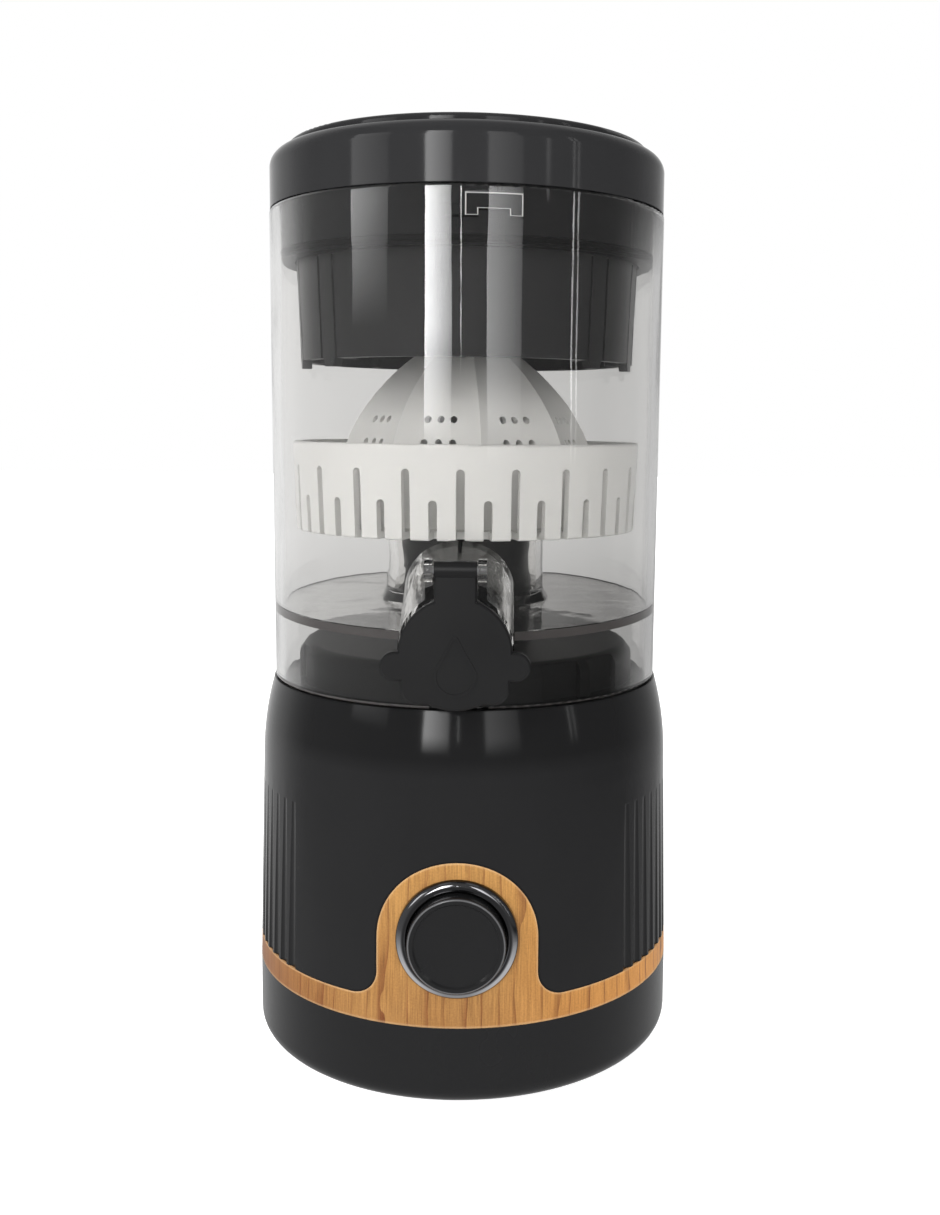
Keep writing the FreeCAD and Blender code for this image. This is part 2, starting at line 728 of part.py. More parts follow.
def gear(teeth, z, top, turn, x=0.0):
    """Spur gear with involute flanks; turn is the angle of its first tooth in degrees."""
    pitch_r = MODULE * teeth / 2
    base_r = pitch_r * math.cos(PRESSURE)
    tip_r = pitch_r + ADDENDUM * MODULE
    root_r = pitch_r - DEDENDUM * MODULE
    foot_r = max(base_r, root_r)

    def roll(r):
        angle = math.acos(min(1.0, base_r / r))
        return math.tan(angle) - angle

    def half_tooth(r):
        return math.pi / (2 * teeth) - BACKLASH / (4 * pitch_r) + roll(pitch_r) - roll(r)

    def at(r, angle):
        return V(x + r * math.cos(angle), r * math.sin(angle), z)

    edges = []
    middle_r = (foot_r + tip_r) / 2
    for i in range(teeth):
        here = math.radians(turn) + 2 * math.pi * i / teeth
        after = here + 2 * math.pi / teeth
        foot, middle, tip = half_tooth(foot_r), half_tooth(middle_r), half_tooth(tip_r)
        rise = (at(foot_r, here - foot), at(middle_r, here - middle), at(tip_r, here - tip))
        fall = (at(tip_r, here + tip), at(middle_r, here + middle), at(foot_r, here + foot))
        if foot_r > root_r:
            edges.append(Part.makeLine(at(root_r, here - foot), rise[0]))
        edges.append(Part.Arc(*rise).toShape())
        edges.append(Part.Arc(rise[2], at(tip_r, here), fall[0]).toShape())
        edges.append(Part.Arc(*fall).toShape())
        if foot_r > root_r:
            edges.append(Part.makeLine(fall[2], at(root_r, here + foot)))
        valley = (at(root_r, here + foot), at(root_r, (here + after) / 2), at(root_r, after - foot))
        edges.append(Part.Arc(*valley).toShape())
    return Part.Face(Part.Wire(edges)).extrude(AXIS * (top - z))


def output_gear():
    return gear(output_teeth, output_z, output_top, 0).cut(rod(SHAFT_R + PRESS_GAP, output_z, output_top))


def idler_gear():
    large = gear(idler_teeth, idler_z, idler_top, 0, gear_centre)
    small = gear(SMALL_IDLER_TEETH, idler_z, output_top, 180 + 180 / SMALL_IDLER_TEETH, gear_centre)
    return joined([large, small]).cut(rod(AXLE_R + RUN_GAP, idler_z, output_top, gear_centre))


def motor_pinion():
    top = output_z - GEAR_GAP
    return gear(PINION_TEETH, idler_z, top, 180 / PINION_TEETH).cut(rod(ROTOR_R + PRESS_GAP, idler_z, top))


def rotor_shaft():
    return rod(ROTOR_R, motor_z - END_CAP_H, output_z - GEAR_GAP)


def idler_axle():
    return rod(AXLE_R, plate_z, case_ceiling + AXLE_BITE, gear_centre)


def gearbox_case():
    outer = stadium(0, gear_centre, case_r, plate_top, case_top)
    hollow = stadium(0, gear_centre, case_r - CASE_WALL, plate_top, case_ceiling)
    collar = rod(CASE_COLLAR_R, case_ceiling, case_top + CASE_COLLAR_H)
    ears = [rod(CASE_EAR_R, case_top - CASE_EAR_T, case_top, x, y) for x, y in ear_places]
    bosses = [rod(plate_boss_r, plate_top, case_top, x, y) for x, y in plate_screw_places]
    case = joined([outer.cut(hollow), collar] + ears + bosses)
    holes = [rod(BUSH_R + PRESS_GAP, case_ceiling, case_top + CASE_COLLAR_H)]
    holes.append(rod(AXLE_R + PRESS_GAP, case_ceiling, case_ceiling + AXLE_BITE, gear_centre))
    holes += [rod(SCREW_R + SNUG_GAP, case_top - CASE_EAR_T, case_top, x, y) for x, y in ear_places]
    bite = plate_top + SMALL_BITE
    holes += [rod(SMALL_SCREW_R + PRESS_GAP, plate_top, bite, x, y) for x, y in plate_screw_places]
    return case.cut(holes)


def gearbox_plate():
    plate = stadium(0, gear_centre, case_r, plate_z, plate_top)
    ear = rod(plate_boss_r, plate_z, plate_top, *plate_screw_places[2])
    screw_places = plate_screw_places + motor_screw_places
    sink = plate_top - SMALL_HEAD_H
    holes = [rod(MOTOR_BOSS_R + RUN_GAP, plate_z, plate_top)]
    holes.append(rod(AXLE_R + PRESS_GAP, plate_z, plate_top, gear_centre))
    holes += [rod(SMALL_SCREW_R + SNUG_GAP, plate_z, plate_top, x, y) for x, y in screw_places]
    holes += [rod(SMALL_HEAD_R + SNUG_GAP, sink, plate_top, x, y) for x, y in motor_screw_places]
    return joined([plate, ear]).cut(holes)


def gearbox_screws():
    bite = PLATE_T + SMALL_BITE
    return Part.makeCompound([small_screw(x, y, plate_z, bite, 1) for x, y in plate_screw_places])


def gearbox_mount_screws():
    seat = case_top - CASE_EAR_T
    return Part.makeCompound([screw(x, y, seat, SCREW_BITE) for x, y in ear_places])


def motor_screws():
    seat = plate_top - SMALL_HEAD_H
    bite = seat - plate_z + SMALL_BITE
    return Part.makeCompound([small_screw(x, y, seat, bite, -1) for x, y in motor_screw_places])


def drive_motor():
    bore = ROTOR_R + RUN_GAP
    boss_top = plate_top - GEAR_GAP
    can = spin([(bore, motor_z, 0), (MOTOR_R, motor_z, 0), (MOTOR_R, plate_z, MOTOR_EDGE),
                (MOTOR_BOSS_R, plate_z, 0), (MOTOR_BOSS_R, boss_top, 0), (bore, boss_top, 0)])
    slab = prism(upright(MOTOR_R, -MOTOR_FLAT, MOTOR_FLAT), motor_z, plate_top)
    bite = plate_z - SMALL_BITE
    pilots = [rod(SMALL_SCREW_R + PRESS_GAP, bite, plate_z, x, y) for x, y in motor_screw_places]
    return can.common(slab).cut(pilots)


def terminal(side):
    x, y = side * TERMINAL_X, TERMINAL_W / 2
    thick = side * TERMINAL_T
    blade = [(x, -y, 0), (x + thick, -y, 0), (x + thick, y, 0), (x, y, 0)]
    return prism(blade, motor_z - END_CAP_H - TERMINAL_H, motor_z - END_CAP_H / 2)


def motor_end_cap():
    low = motor_z - END_CAP_H
    hub = low - END_HUB_H
    cap = spin([(0, hub, 0), (END_HUB_R, hub, END_CAP_EDGE), (END_HUB_R, low, 0),
                (END_CAP_R, low, END_CAP_EDGE), (END_CAP_R, motor_z, 0), (0, motor_z, 0)])
    slab = prism(upright(MOTOR_R, -MOTOR_FLAT, MOTOR_FLAT), hub, motor_z)
    return cap.common(slab).cut([rod(ROTOR_R + RUN_GAP, low, motor_z), terminal(-1), terminal(1)])


def motor_terminals():
    return Part.makeCompound([terminal(-1), terminal(1)])


def lower_bush():
    return tube(SHAFT_R + RUN_GAP, BUSH_R, case_ceiling, case_top + CASE_COLLAR_H)


def upper_bush():
    return tube(SHAFT_R + RUN_GAP, BUSH_R, tower_z - TOWER_CAP, bush_top)


def shaft_clip():
    ring = tube(SHAFT_R, CLIP_R, bush_top + CLIP_GAP, bush_top + CLIP_GAP + CLIP_T)
    half = SHAFT_R / 2
    gap = prism([(0, -half, 0), (CLIP_R, -half, 0), (CLIP_R, half, 0), (0, half, 0)], bush_top, tower_z)
    return ring.cut(gap)


def shaft_seal():
    return tube(SHAFT_R + RUN_GAP, BUSH_R, tower_z - SEAL_H, tower_z)


def output_shaft():
    return rod(SHAFT_R, output_z, coupling_top - COUPLING_CROWN)


def hexagon(across, z, top):
    plan = [(x, y, 0) for x, y in around(across, 6, COUPLING_TURN)]
    return prism(plan, z, top)


def drive_coupling():
    block = hexagon(COUPLING_R, coupling_z, coupling_top)
    crown = spin([(0, coupling_z, 0), (COUPLING_R, coupling_z, 0),
                  (COUPLING_R, coupling_top, COUPLING_CROWN / 2), (0, coupling_top, 0)])
    return block.common(crown).cut(rod(SHAFT_R + PRESS_GAP, coupling_z, coupling_top - COUPLING_CROWN))


def spout_body(radius, start):
    """Sheared tube from inside the cup's wall out to the spout's end, round in every upright section."""
    slope = SPOUT_RISE / SPOUT_REACH
    rings = [Part.Wire(Part.makeCircle(radius, V(0, y, spout_end_z + slope * (y - spout_end)), V(0, 1, 0)))
             for y in (start, spout_end)]
    return Part.makeLoft(rings, True, True)


def hinge_lug(side):
    """Ear of the hinge that rises from the top of the spout's end."""
    root = spout_end_z + SPOUT_R - SPOUT_WALL
    neck = hinge_z - LUG_R
    crown = hinge_z + LUG_R
    low, back = hinge_y - LUG_R, hinge_y + LUG_R
    profile = [(low, crown, LUG_R), (back, crown, LUG_R), (back + 2 * LUG_R, root, 0), (spout_end, root, 0),
               (spout_end, neck, 0), (low, neck, LUG_R / 2)]
    ear = side_prism(profile, side * lug_in, side * lug_out)
    return ear.cut(spout_body(SPOUT_R - SPOUT_WALL, -CUP_FOOT_R))


def bayonet_track():
    """Lid track in the cup's wall: an entry from the rim, then a bar with a foot at each end."""
    top = rim_z - TRACK_DROP
    low = top - TRACK_H
    foot = low - TRACK_FOOT_H
    far = TRACK_X + TRACK_W
    entry = TRACK_X - ENTRY_W
    wall = cup_r(top) - CUP_WALL
    depth = wall + BAYONET_DEPTH

    def groove(x, end, z, high):
        """Stretch of the track whose upper and lower sides slope."""
        ring = spin([(wall / 2, z - TRACK_BEVEL, 0), (wall, z - TRACK_BEVEL, 0), (depth, z, 0), (depth, high, 0),
                     (wall, high + TRACK_BEVEL, 0), (wall / 2, high + TRACK_BEVEL, 0)])
        stretch = upright((end - x) / 2, z - TRACK_H, high + TRACK_H)
        return ring.common(front_prism(stretch, -depth, 0).translated(V((x + end) / 2, 0, 0)))

    return joined([groove(entry, TRACK_X, foot, rim_z), groove(entry, far, low, top),
                   groove(TRACK_X, TRACK_X + TRACK_FOOT_W, foot, top), groove(far - TRACK_FOOT_W, far, foot, top)])


def juice_cup():
    foot_in, rim_in = CUP_FOOT_R - CUP_WALL, cup_rim_r - CUP_WALL
    foot_mid, rim_mid = CUP_FOOT_R - CUP_WALL / 2, cup_rim_r - CUP_WALL / 2
    wall = spin([(foot_in, cup_z, 0), (CUP_FOOT_R, cup_z, CUP_LIP), (cup_rim_r, rim_z, CUP_LIP),
                 (rim_in, rim_z, CUP_LIP)])
    inside = spin([(0, cup_z, 0), (foot_in, cup_z, 0), (rim_in, rim_z, 0), (0, rim_z, 0)])
    body = spin([(0, cup_z, 0), (foot_mid, cup_z, 0), (rim_mid, rim_z, 0), (0, rim_z, 0)])
    floor = rod(cup_rim_r * 2, floor_z - FLOOR_T, floor_z)
    floor.rotate(V(0, 0, floor_z), V(1, 0, 0), FLOOR_TILT)
    bore = chimney_r - CHIMNEY_WALL
    flare_z = floor_z + CHIMNEY_FLARE_H
    chimney = spin([(bore, floor_z - FLOOR_T, 0), (chimney_r, floor_z - FLOOR_T, 0),
                    (chimney_r + CHIMNEY_FLARE, floor_z, 0), (chimney_r, flare_z, CHIMNEY_FLARE_H),
                    (chimney_r, chimney_top, CHIMNEY_WALL / 3), (bore, chimney_top, CHIMNEY_WALL / 3)])
    spout = spout_body(SPOUT_R, -CUP_FOOT_R / 2).cut(inside)
    key_face = upright(KEY_W / 2 - SLIDE_GAP, cup_z, boss_z - BOSS_ROUND)
    key = front_prism(key_face, -CUP_FOOT_R, -boss_r + KEY_DEPTH - SLIDE_GAP).common(body)
    solids = [wall, floor.common(body), chimney, spout, hinge_lug(-1), hinge_lug(1)]
    cup = joined(solids + [turned(key, angle) for angle in KEY_ANGLES])
    cuts = [rod(bore, cup_z, chimney_top), spout_body(SPOUT_R - SPOUT_WALL, -CUP_FOOT_R + 2 * CUP_WALL)]
    cuts.append(hinge_rod(PIN_R + PRESS_GAP, lug_out))
    cuts += ring_of(bayonet_track(), BAYONET_COUNT)
    return cup.cut(cuts)


def hinge_rod(radius, half):
    """Cylinder on the flap's hinge line."""
    return Part.makeCylinder(radius, 2 * half, V(-half, hinge_y, hinge_z), V(1, 0, 0))


def spout_hinge_pin():
    return hinge_rod(PIN_R, lug_out)


def spout_flap():
    tab, foot = TAB_W / 2, FLAP_FOOT_W / 2
    middle = spout_end_z - FLAP_DROP
    low = spout_end_z - FLAP_FOOT_H
    ear_z = spout_end_z - EAR_DROP
    apron = [(-foot, low, FLAP_FOOT_ROUND), (foot, low, FLAP_FOOT_ROUND), (foot, middle, 0), (-foot, middle, 0)]
    faces = [upright(tab, middle, hinge_z), apron]
    faces.append(upright(EAR_SPAN / 2, ear_z - EAR_H / 2, ear_z + EAR_H / 2, EAR_H / 2))
    disc = front_rod(FLAP_R, flap_front, flap_back, 0, middle)
    plate = joined([disc] + [front_prism(face, flap_front, flap_back) for face in faces])
    front = [edge for edge in plate.Edges if abs(edge.BoundBox.YMax - flap_front) < tiny]
    plate = plate.makeChamfer(FLAP_EDGE, front)
    return joined([plate, hinge_rod(KNUCKLE_R, tab)]).cut(hinge_rod(PIN_R + RUN_GAP, tab))


def spout_seal():
    plug_r = SPOUT_R - SPOUT_WALL - PLUG_CLEAR
    depth = PLUG_H + SLIDE_GAP
    return Part.makeCone(plug_r, plug_r - PLUG_DRAFT, depth, V(0, flap_back, spout_end_z), V(0, 1, 0))


def strainer_basket():
    collar_in = chimney_r + COLLAR_GAP
    collar_out = collar_in + COLLAR_WALL
    collar_top = strainer_z + COLLAR_H
    foot_in, rim_in = strainer_foot_r - STRAINER_WALL, strainer_rim_r - STRAINER_WALL
    lip = STRAINER_WALL / 3
    basket = spin([(collar_in, strainer_z, 0), (strainer_foot_r, strainer_z, lip),
                   (strainer_rim_r, strainer_top, lip), (rim_in, strainer_top, lip), (foot_in, cone_z, 0),
                   (collar_out, cone_z, 0), (collar_out, collar_top, 0), (collar_in, collar_top, 0)])
    slot_in = strainer_foot_r - SLOT_REACH
    step = 360.0 / SLOT_PAIRS
    cuts = []
    for height, start in ((LONG_SLOT_H, 0.0), (SHORT_SLOT_H, step / 2)):
        x, top = SLOT_W / 2, strainer_z + height
        face = [(-x, strainer_z, 0), (x, strainer_z, 0), (x, top, x), (-x, top, x)]
        cuts += ring_of(front_prism(face, -strainer_rim_r, -slot_in), SLOT_PAIRS, start)
    ports = around(collar_out + PORT_EDGE + PORT_R, CONE_RIDGES, CONE_TURN - 90.0)
    cuts += [rod(PORT_R, strainer_z, cone_z, x, y) for x, y in ports]
    return basket.cut(cuts)


def cone_r(height):
    """Ridge radius of the reamer at a height above its foot."""
    return cone_foot_r * (1 - (height / CONE_H) ** CONE_BLUNT) ** CONE_SWELL


def ridged_ring(height):
    """Closed section of the reamer: hollow arcs between sharp ridges."""
    ridge = cone_r(height)
    z = cone_z + height
    ridges = [V(x, y, z) for x, y in around(ridge, CONE_RIDGES, CONE_TURN - 90.0)]
    half = 180.0 / CONE_RIDGES
    valleys = [V(x, y, z) for x, y in around(ridge * CONE_VALLEY, CONE_RIDGES, CONE_TURN - 90.0 + half)]
    ends = ridges[1:] + ridges[:1]
    return Part.Wire([Part.Arc(*three).toShape() for three in zip(ridges, valleys, ends)])


def reamer_cone():
    heights = [CONE_H * level for level in CONE_LEVELS]
    cone = Part.makeLoft([ridged_ring(height) for height in heights], True, False)
    hub_r = COUPLING_R + SLIDE_GAP + HUB_WALL
    skin = [(cone_r(h) * CONE_VALLEY - CONE_WALL, cone_z + h, 0) for h in heights]
    inside = [corner for corner in skin if corner[0] > hub_r]
    hollow = spin([(0, cone_z, 0)] + inside + [(0, inside[-1][1], 0)])
    hub = rod(hub_r, coupling_z + SEAT_GAP, inside[-1][1])
    socket = hexagon(COUPLING_R + SLIDE_GAP, coupling_z, coupling_top + SEAT_GAP)
    drain = front_rod(DRAIN_R, -cone_foot_r, -hub_r, 0, cone_z)
    drains = []
    for height in DRAIN_LEVELS:
        for column in (-1, 0, 1):
            start = CONE_TURN + 180.0 / CONE_RIDGES + column * DRAIN_STEP
            drains += ring_of(drain.translated(V(0, 0, height)), CONE_RIDGES, start)
    return cone.cut(hollow.cut(hub)).cut([socket] + drains)


def lid_cap():
    disc_r = lid_disc_r + SNUG_GAP
    skirt_in = skirt_r - SKIRT_WALL
    cap = spin([(lid_r, lid_z, 0), (lid_r, lid_top, LID_ROUND), (disc_r, lid_top, 0),
                (disc_r, ceiling_top, 0), (0, ceiling_top, 0), (0, ceiling_z, 0),
                (skirt_in, ceiling_z, SKIRT_WALL), (skirt_in, skirt_z, 0), (skirt_r, skirt_z, 0),
                (skirt_r, lid_z, 0)])
    lug_r = skirt_r + LID_LUG_PROUD
    lug_top = rim_z - TRACK_DROP
    lug_z = lug_top - LID_LUG_H
    bar = front_prism(upright(LID_LUG_W / 2, lug_z, lug_top), -lug_r, -lug_r / 2)
    bar.translate(V(TRACK_X - ENTRY_W / 2, 0, 0))
    lug = bar.common(tube(skirt_r - SKIRT_WALL / 2, lug_r, lug_z, lug_top))
    seat = spring_seat(ceiling_z - SPRING_SEAT_H, ceiling_z + CEILING_T / 2)
    return joined([cap, seat] + ring_of(lug, BAYONET_COUNT))


def spring_seat(z, top):
    """Ring inside the spring's end that keeps it central."""
    outer = SPRING_R - SPRING_WIRE_R - SLIDE_GAP
    return tube(outer - SPRING_SEAT_WALL, outer, z, top)


def lid_disc():
    return spin([(0, ceiling_top, 0), (lid_disc_r, ceiling_top, 0),
                 (lid_disc_r, lid_top + LID_DISC_PROUD, LID_DISC_ROUND), (0, lid_top + LID_DISC_PROUD, 0)])


def lid_seal():
    edge = LID_SEAL_H / 3
    return spin([(seal_in, seal_z, 0), (seal_out, seal_z, edge), (seal_out, skirt_z, edge), (seal_in, skirt_z, 0)])


def presser_retainer():
    inner = presser_r + SLIDE_GAP
    neck = seal_in - SNUG_GAP
    return spin([(inner, retainer_z, 0), (skirt_r, retainer_z, 0), (skirt_r, seal_z, 0), (neck, seal_z, 0),
                 (neck, skirt_z, 0), (inner, skirt_z, 0)])


def presser():
    wall_in = presser_foot_r - PRESSER_WALL
    dome_in = presser_r - PRESSER_WALL
    dome_z = flange_top - PRESSER_TOP_T
    flange_r = presser_r + FLANGE_W
    claw_z = presser_z - CLAW_H
    body = spin([(0, presser_z, 0), (presser_foot_r, presser_z, 0), (presser_r, flange_z, 0),
                 (flange_r, flange_z, 0), (flange_r, flange_top, FLANGE_H / 3), (0, flange_top, 0)])
    bowl = spin([(0, presser_z, 0), (wall_in, presser_z, 0), (dome_in, dome_z, BOWL_ROUND), (0, dome_z, 0)])
    core = spin([(0, presser_z, 0), (wall_in - FIN_H, presser_z, 0),
                 (dome_in - FIN_H, dome_z - FIN_H, BOWL_ROUND), (0, dome_z - FIN_H, 0)])
    fin = front_prism(upright(FIN_T / 2, presser_z, dome_z), -presser_r, -presser_r / 4)
    fins = [blade.common(bowl).cut(core) for blade in ring_of(fin, FIN_COUNT)]
    tooth = [(-CLAW_W / 2, presser_z, 0), (CLAW_W / 2, presser_z, 0), (CLAW_W / 3, claw_z, 0),
             (-CLAW_W / 3, claw_z, 0)]
    claw = front_prism(tooth, -presser_foot_r, -presser_r / 2)
    rim = tube(wall_in, presser_foot_r, claw_z, presser_z)
    claws = [turned(claw, angle).common(rim) for angle in CLAW_ANGLES]
    core_r = (presser_foot_r - CLAW_GROOVE_DEPTH, presser_r - CLAW_GROOVE_DEPTH)
    wall_core = spin([(0, claw_z, 0), (core_r[0], claw_z, 0), (core_r[1], flange_z, 0), (0, flange_z, 0)])
    grooves = []
    for side in (-1, 1):
        middle = side * (CLAW_W + CLAW_GROOVE_W) / 2
        strip = front_prism(upright(CLAW_GROOVE_W / 2, claw_z, retainer_z - SLIDE_GAP), -flange_r, -presser_r / 2)
        strip.translate(V(middle, 0, 0))
        grooves += [turned(strip, angle).cut(wall_core) for angle in CLAW_ANGLES]
    seat = spring_seat(flange_top - PRESSER_TOP_T / 2, flange_top + SPRING_SEAT_H)
    return joined([body.cut([bowl] + grooves), seat] + fins + claws)


def press_spring():
    """Coil of quarter turns, each made of two arcs that meet the helix's own direction."""
    low = flange_top + SPRING_WIRE_R + SEAT_GAP
    rise = (ceiling_z - SPRING_WIRE_R - SEAT_GAP - low) / SPRING_TURNS

    def place(turn):
        angle = 2 * math.pi * turn
        return V(SPRING_R * math.cos(angle), SPRING_R * math.sin(angle), low + rise * turn)

    def heading(turn):
        angle = 2 * math.pi * turn
        return V(-SPRING_R * math.sin(angle), SPRING_R * math.cos(angle), rise / (2 * math.pi)).normalize()

    def arc(start, peak, end):
        middle = (start + end) * 0.5
        toward = peak - middle
        lean = (end - start).getAngle(peak - start)
        sag = (end - start).Length / 2 * math.tan(lean / 2)
        return Part.Arc(start, middle + toward.normalize() * sag, end).toShape()

    edges = []
    for i in range(int(SPRING_TURNS * 4)):
        start, end = place(i / 4), place((i + 1) / 4)
        leave, arrive = heading(i / 4), heading((i + 1) / 4)
        chord, both = end - start, leave + arrive
        a, b, c = 2 * (1 - leave.dot(arrive)), 2 * chord.dot(both), -chord.dot(chord)
        reach = (-b + math.sqrt(b * b - 4 * a * c)) / (2 * a)
        first, second = start + leave * reach, end - arrive * reach
        meet = (first + second) * 0.5
        edges += [arc(start, first, meet), arc(meet, second, end)]
    ring = Part.Wire(Part.makeCircle(SPRING_WIRE_R, place(0), heading(0)))
    print("least gap between the spring's turns", round(rise - 2 * SPRING_WIRE_R, 2), "mm")
    return Part.Wire(edges).makePipeShell([ring], True, False)


PIECES = (motor_housing, bottom_shell, wood_trim, rubber_feet, bottom_screws, button_bezel, power_button,
          switch_plunger, push_switch, switch_board, control_board, board_screws, charging_socket,
          battery_cells, battery_cradle, output_gear, idler_gear, motor_pinion, rotor_shaft, idler_axle,
          gearbox_case, gearbox_plate, gearbox_screws, gearbox_mount_screws, motor_screws, drive_motor,
          motor_end_cap, motor_terminals, lower_bush, upper_bush, shaft_clip, shaft_seal, output_shaft,
          drive_coupling, juice_cup, spout_hinge_pin, spout_flap, spout_seal, strainer_basket, reamer_cone,
          lid_cap, lid_disc, lid_seal, presser_retainer, presser, press_spring)

os.makedirs("parts", exist_ok=True)
for piece in PIECES:
    piece().exportStep("parts/" + piece.__name__ + ".step")
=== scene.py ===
"""Looks of a cordless citrus press juicer in metres: finishes, small pieces, studio and camera."""

import json
import math

import bmesh
import bpy
from mathutils import Matrix, Vector

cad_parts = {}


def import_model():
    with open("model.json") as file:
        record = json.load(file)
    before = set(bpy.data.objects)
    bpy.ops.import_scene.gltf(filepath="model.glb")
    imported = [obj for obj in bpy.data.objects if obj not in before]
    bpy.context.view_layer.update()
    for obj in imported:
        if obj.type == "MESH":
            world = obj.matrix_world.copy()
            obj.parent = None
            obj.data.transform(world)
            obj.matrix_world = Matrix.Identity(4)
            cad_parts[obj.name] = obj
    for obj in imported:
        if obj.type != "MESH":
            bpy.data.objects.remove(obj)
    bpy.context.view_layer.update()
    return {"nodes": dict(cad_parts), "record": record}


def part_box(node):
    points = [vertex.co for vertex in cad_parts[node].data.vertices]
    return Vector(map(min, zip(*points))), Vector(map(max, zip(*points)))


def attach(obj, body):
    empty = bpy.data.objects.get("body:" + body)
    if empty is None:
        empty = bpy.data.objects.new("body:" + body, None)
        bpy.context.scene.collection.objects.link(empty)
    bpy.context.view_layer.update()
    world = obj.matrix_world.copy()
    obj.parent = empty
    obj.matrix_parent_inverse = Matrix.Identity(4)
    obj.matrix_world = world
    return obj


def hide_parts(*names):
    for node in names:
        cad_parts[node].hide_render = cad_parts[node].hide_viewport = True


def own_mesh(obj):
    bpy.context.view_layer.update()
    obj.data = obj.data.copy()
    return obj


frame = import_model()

nodes = frame["nodes"]

# Photograph's view: sizes in its own pixels, angles in degrees, places in metres
FRAME_W = 940
FRAME_H = 1215
FOCAL_PX = 1278.6
AXIS_COLUMN = 517.0
AXIS_ROW = 560.6
CAMERA_REACH = 0.385
CAMERA_Z = 0.1832
CAMERA_ROUND = 1.8
CAMERA_YAW = 2.29
CAMERA_PITCH = 6.2
CAMERA_ROLL = 0.54
SENSOR = 36.0
NEAR_CLIP = 0.01

# Grain of the wood band in metres, with the width and length of each kind of patch; the drift is in rings
BAND_R = 0.0615
RING_STEP = 0.0052
RING_BEND = 0.0055
RING_DRIFT = 2.2
BEND_PATCH = (0.030, 0.030)
DRIFT_PATCH = (0.009, 10.0)
FAINT_PATCH = (0.012, 0.03)
BLOTCH_PATCH = (0.02, 0.03)
FIBRE_PATCH = (0.00035, 0.012)
SPECKLE_PATCH = (0.0005, 0.0005)
GRAIN_DEPTH = 0.00003

# Wood's lines and tones: where each begins and is full, its share and its colour
# The red side and the side with painted light are angles round the band in radians, and the arch is a height
# in metres
LATE_SPAN = (0.7, 0.99)
LATE_POWER = 2.2
FAINT_SPAN = (0.35, 0.58)
FAINT_LEAST = 0.35
WEAVE_SPAN = (0.48, 0.86)
SPECKLE_SHARE = 0.35
RED_SPAN = (-0.45, -1.2)
RED_SHARE = 0.85
PAINTED_LIGHT_SPAN = (0.1, 1.45)
ARCH_RISE = (0.026, 0.058)
ARCH_SHARE = 0.38
EDGE_HIGHLIGHT_SHARE = 0.75
WOOD_PLAIN = (0.23, 0.1, 0.02)
WOOD_DARK = (0.19, 0.086, 0.021)
WOOD_LIGHT = (0.248, 0.126, 0.037)
WOOD_RED = (0.155, 0.052, 0.011)
# The pale colour is painted light on the band's right side
WOOD_PAINTED_LIGHT = (0.48, 0.21, 0.044)
WOOD_ARCH = (0.4, 0.215, 0.055)
WOOD_LINE = (0.115, 0.034, 0.007)
# The rubbed colour is a painted highlight along the band's edges
WOOD_EDGE_HIGHLIGHT = (0.6, 0.39, 0.2)
WEAVE_DARK = (0.68, 0.64, 0.6)
WEAVE_LIGHT = (1.13, 1.13, 1.15)

# Moulded plastic and metal: scales of their marks, and how far these change the roughness and colour
FLOW_SCALE = (45.0, 45.0, 30.0)
FLOW_ROUGH = (0.9, 1.1)
STREAK_ROUGH = (0.7, 1.3)
STREAK_DARK = 0.88

# Clear plastic: its tint and the waves and draw lines in its wall, with their depth in metres
CLEAR_TINT = (0.955, 0.95, 0.94)
CLEAR_ROUGH = 0.015
CLEAR_IOR = 1.49
WAVE_SCALE = (70.0, 70.0, 25.0)
DRAW_SCALE = (520.0, 520.0, 18.0)
DRAW_SHARE = 0.05
WAVE_DEPTH = 0.0001

# Button's ring: the width of its painted highlights along the edges in metres, places as shares of an edge or
# of its radius, and its colours, which are painted shade on the slope and painted reflections above and below
BEZEL_EDGE = 0.0013
BEZEL_EDGE_IN = 1.4
BEZEL_EDGE_OUT = (0.4, 0.15)
BEZEL_LIP_HIGHLIGHT_R = 0.0136
BEZEL_LIP_FADE = 0.2
BEZEL_LOWER = (0.6, 0.8)
BEZEL_ASIDE = (0.2, 0.6)
BEZEL_FOOT_LEVEL = 0.45
CHROME_PLAIN = (0.6, 0.6, 0.61)
CHROME_ROUGH = (0.04, 0.09)
CHROME_HAZE_SCALE = 300.0
CHROME_SLOPE_SHADE = (0.045, 0.045, 0.047)
CHROME_UPPER_REFLECTION = (0.13, 0.13, 0.135)
CHROME_LOWER_REFLECTION = (0.62, 0.62, 0.64)

# Painted highlight round the edge of the button's face, in metres
BUTTON_LINE_R = 0.0126
BUTTON_LINE = 0.0003
BUTTON_HIGHLIGHT = (0.075, 0.075, 0.078)

# Edges that look rounded: samples of each, the radius of wide edges, which also carries the wood's painted
# highlight, and of moulded edges in metres, and their black
EDGE_SAMPLES = 4
WIDE_EDGE = 0.0012
MOULDED_EDGE = 0.0003
EDGE_TURN = (0.8, 0.99)
EDGE_BLACK = (0.002, 0.002, 0.002)

# Dull deck under the cup: its roughness and how fast the polish ends, in metres
DECK_ROUGH = 0.42
DECK_BLEND = 0.0004

# Shoulder under the cup, darker than the wall as painted shade: heights between which the painted shade sets
# in, and by how much
SHOULDER_RISE = (0.0905, 0.0955)
SHOULDER_SHADE = 0.64

# Drop sign on the flap: sizes in metres, points round it, and shares for its narrow tip and its depth
DROP_W = 0.0106
DROP_H = 0.0150
DROP_RISE = 0.0087
DROP_LINE = 0.0007
DROP_PROUD = 0.0002
DROP_STEPS = 64
DROP_LEAN = 0.55
DROP_FACE = 0.35

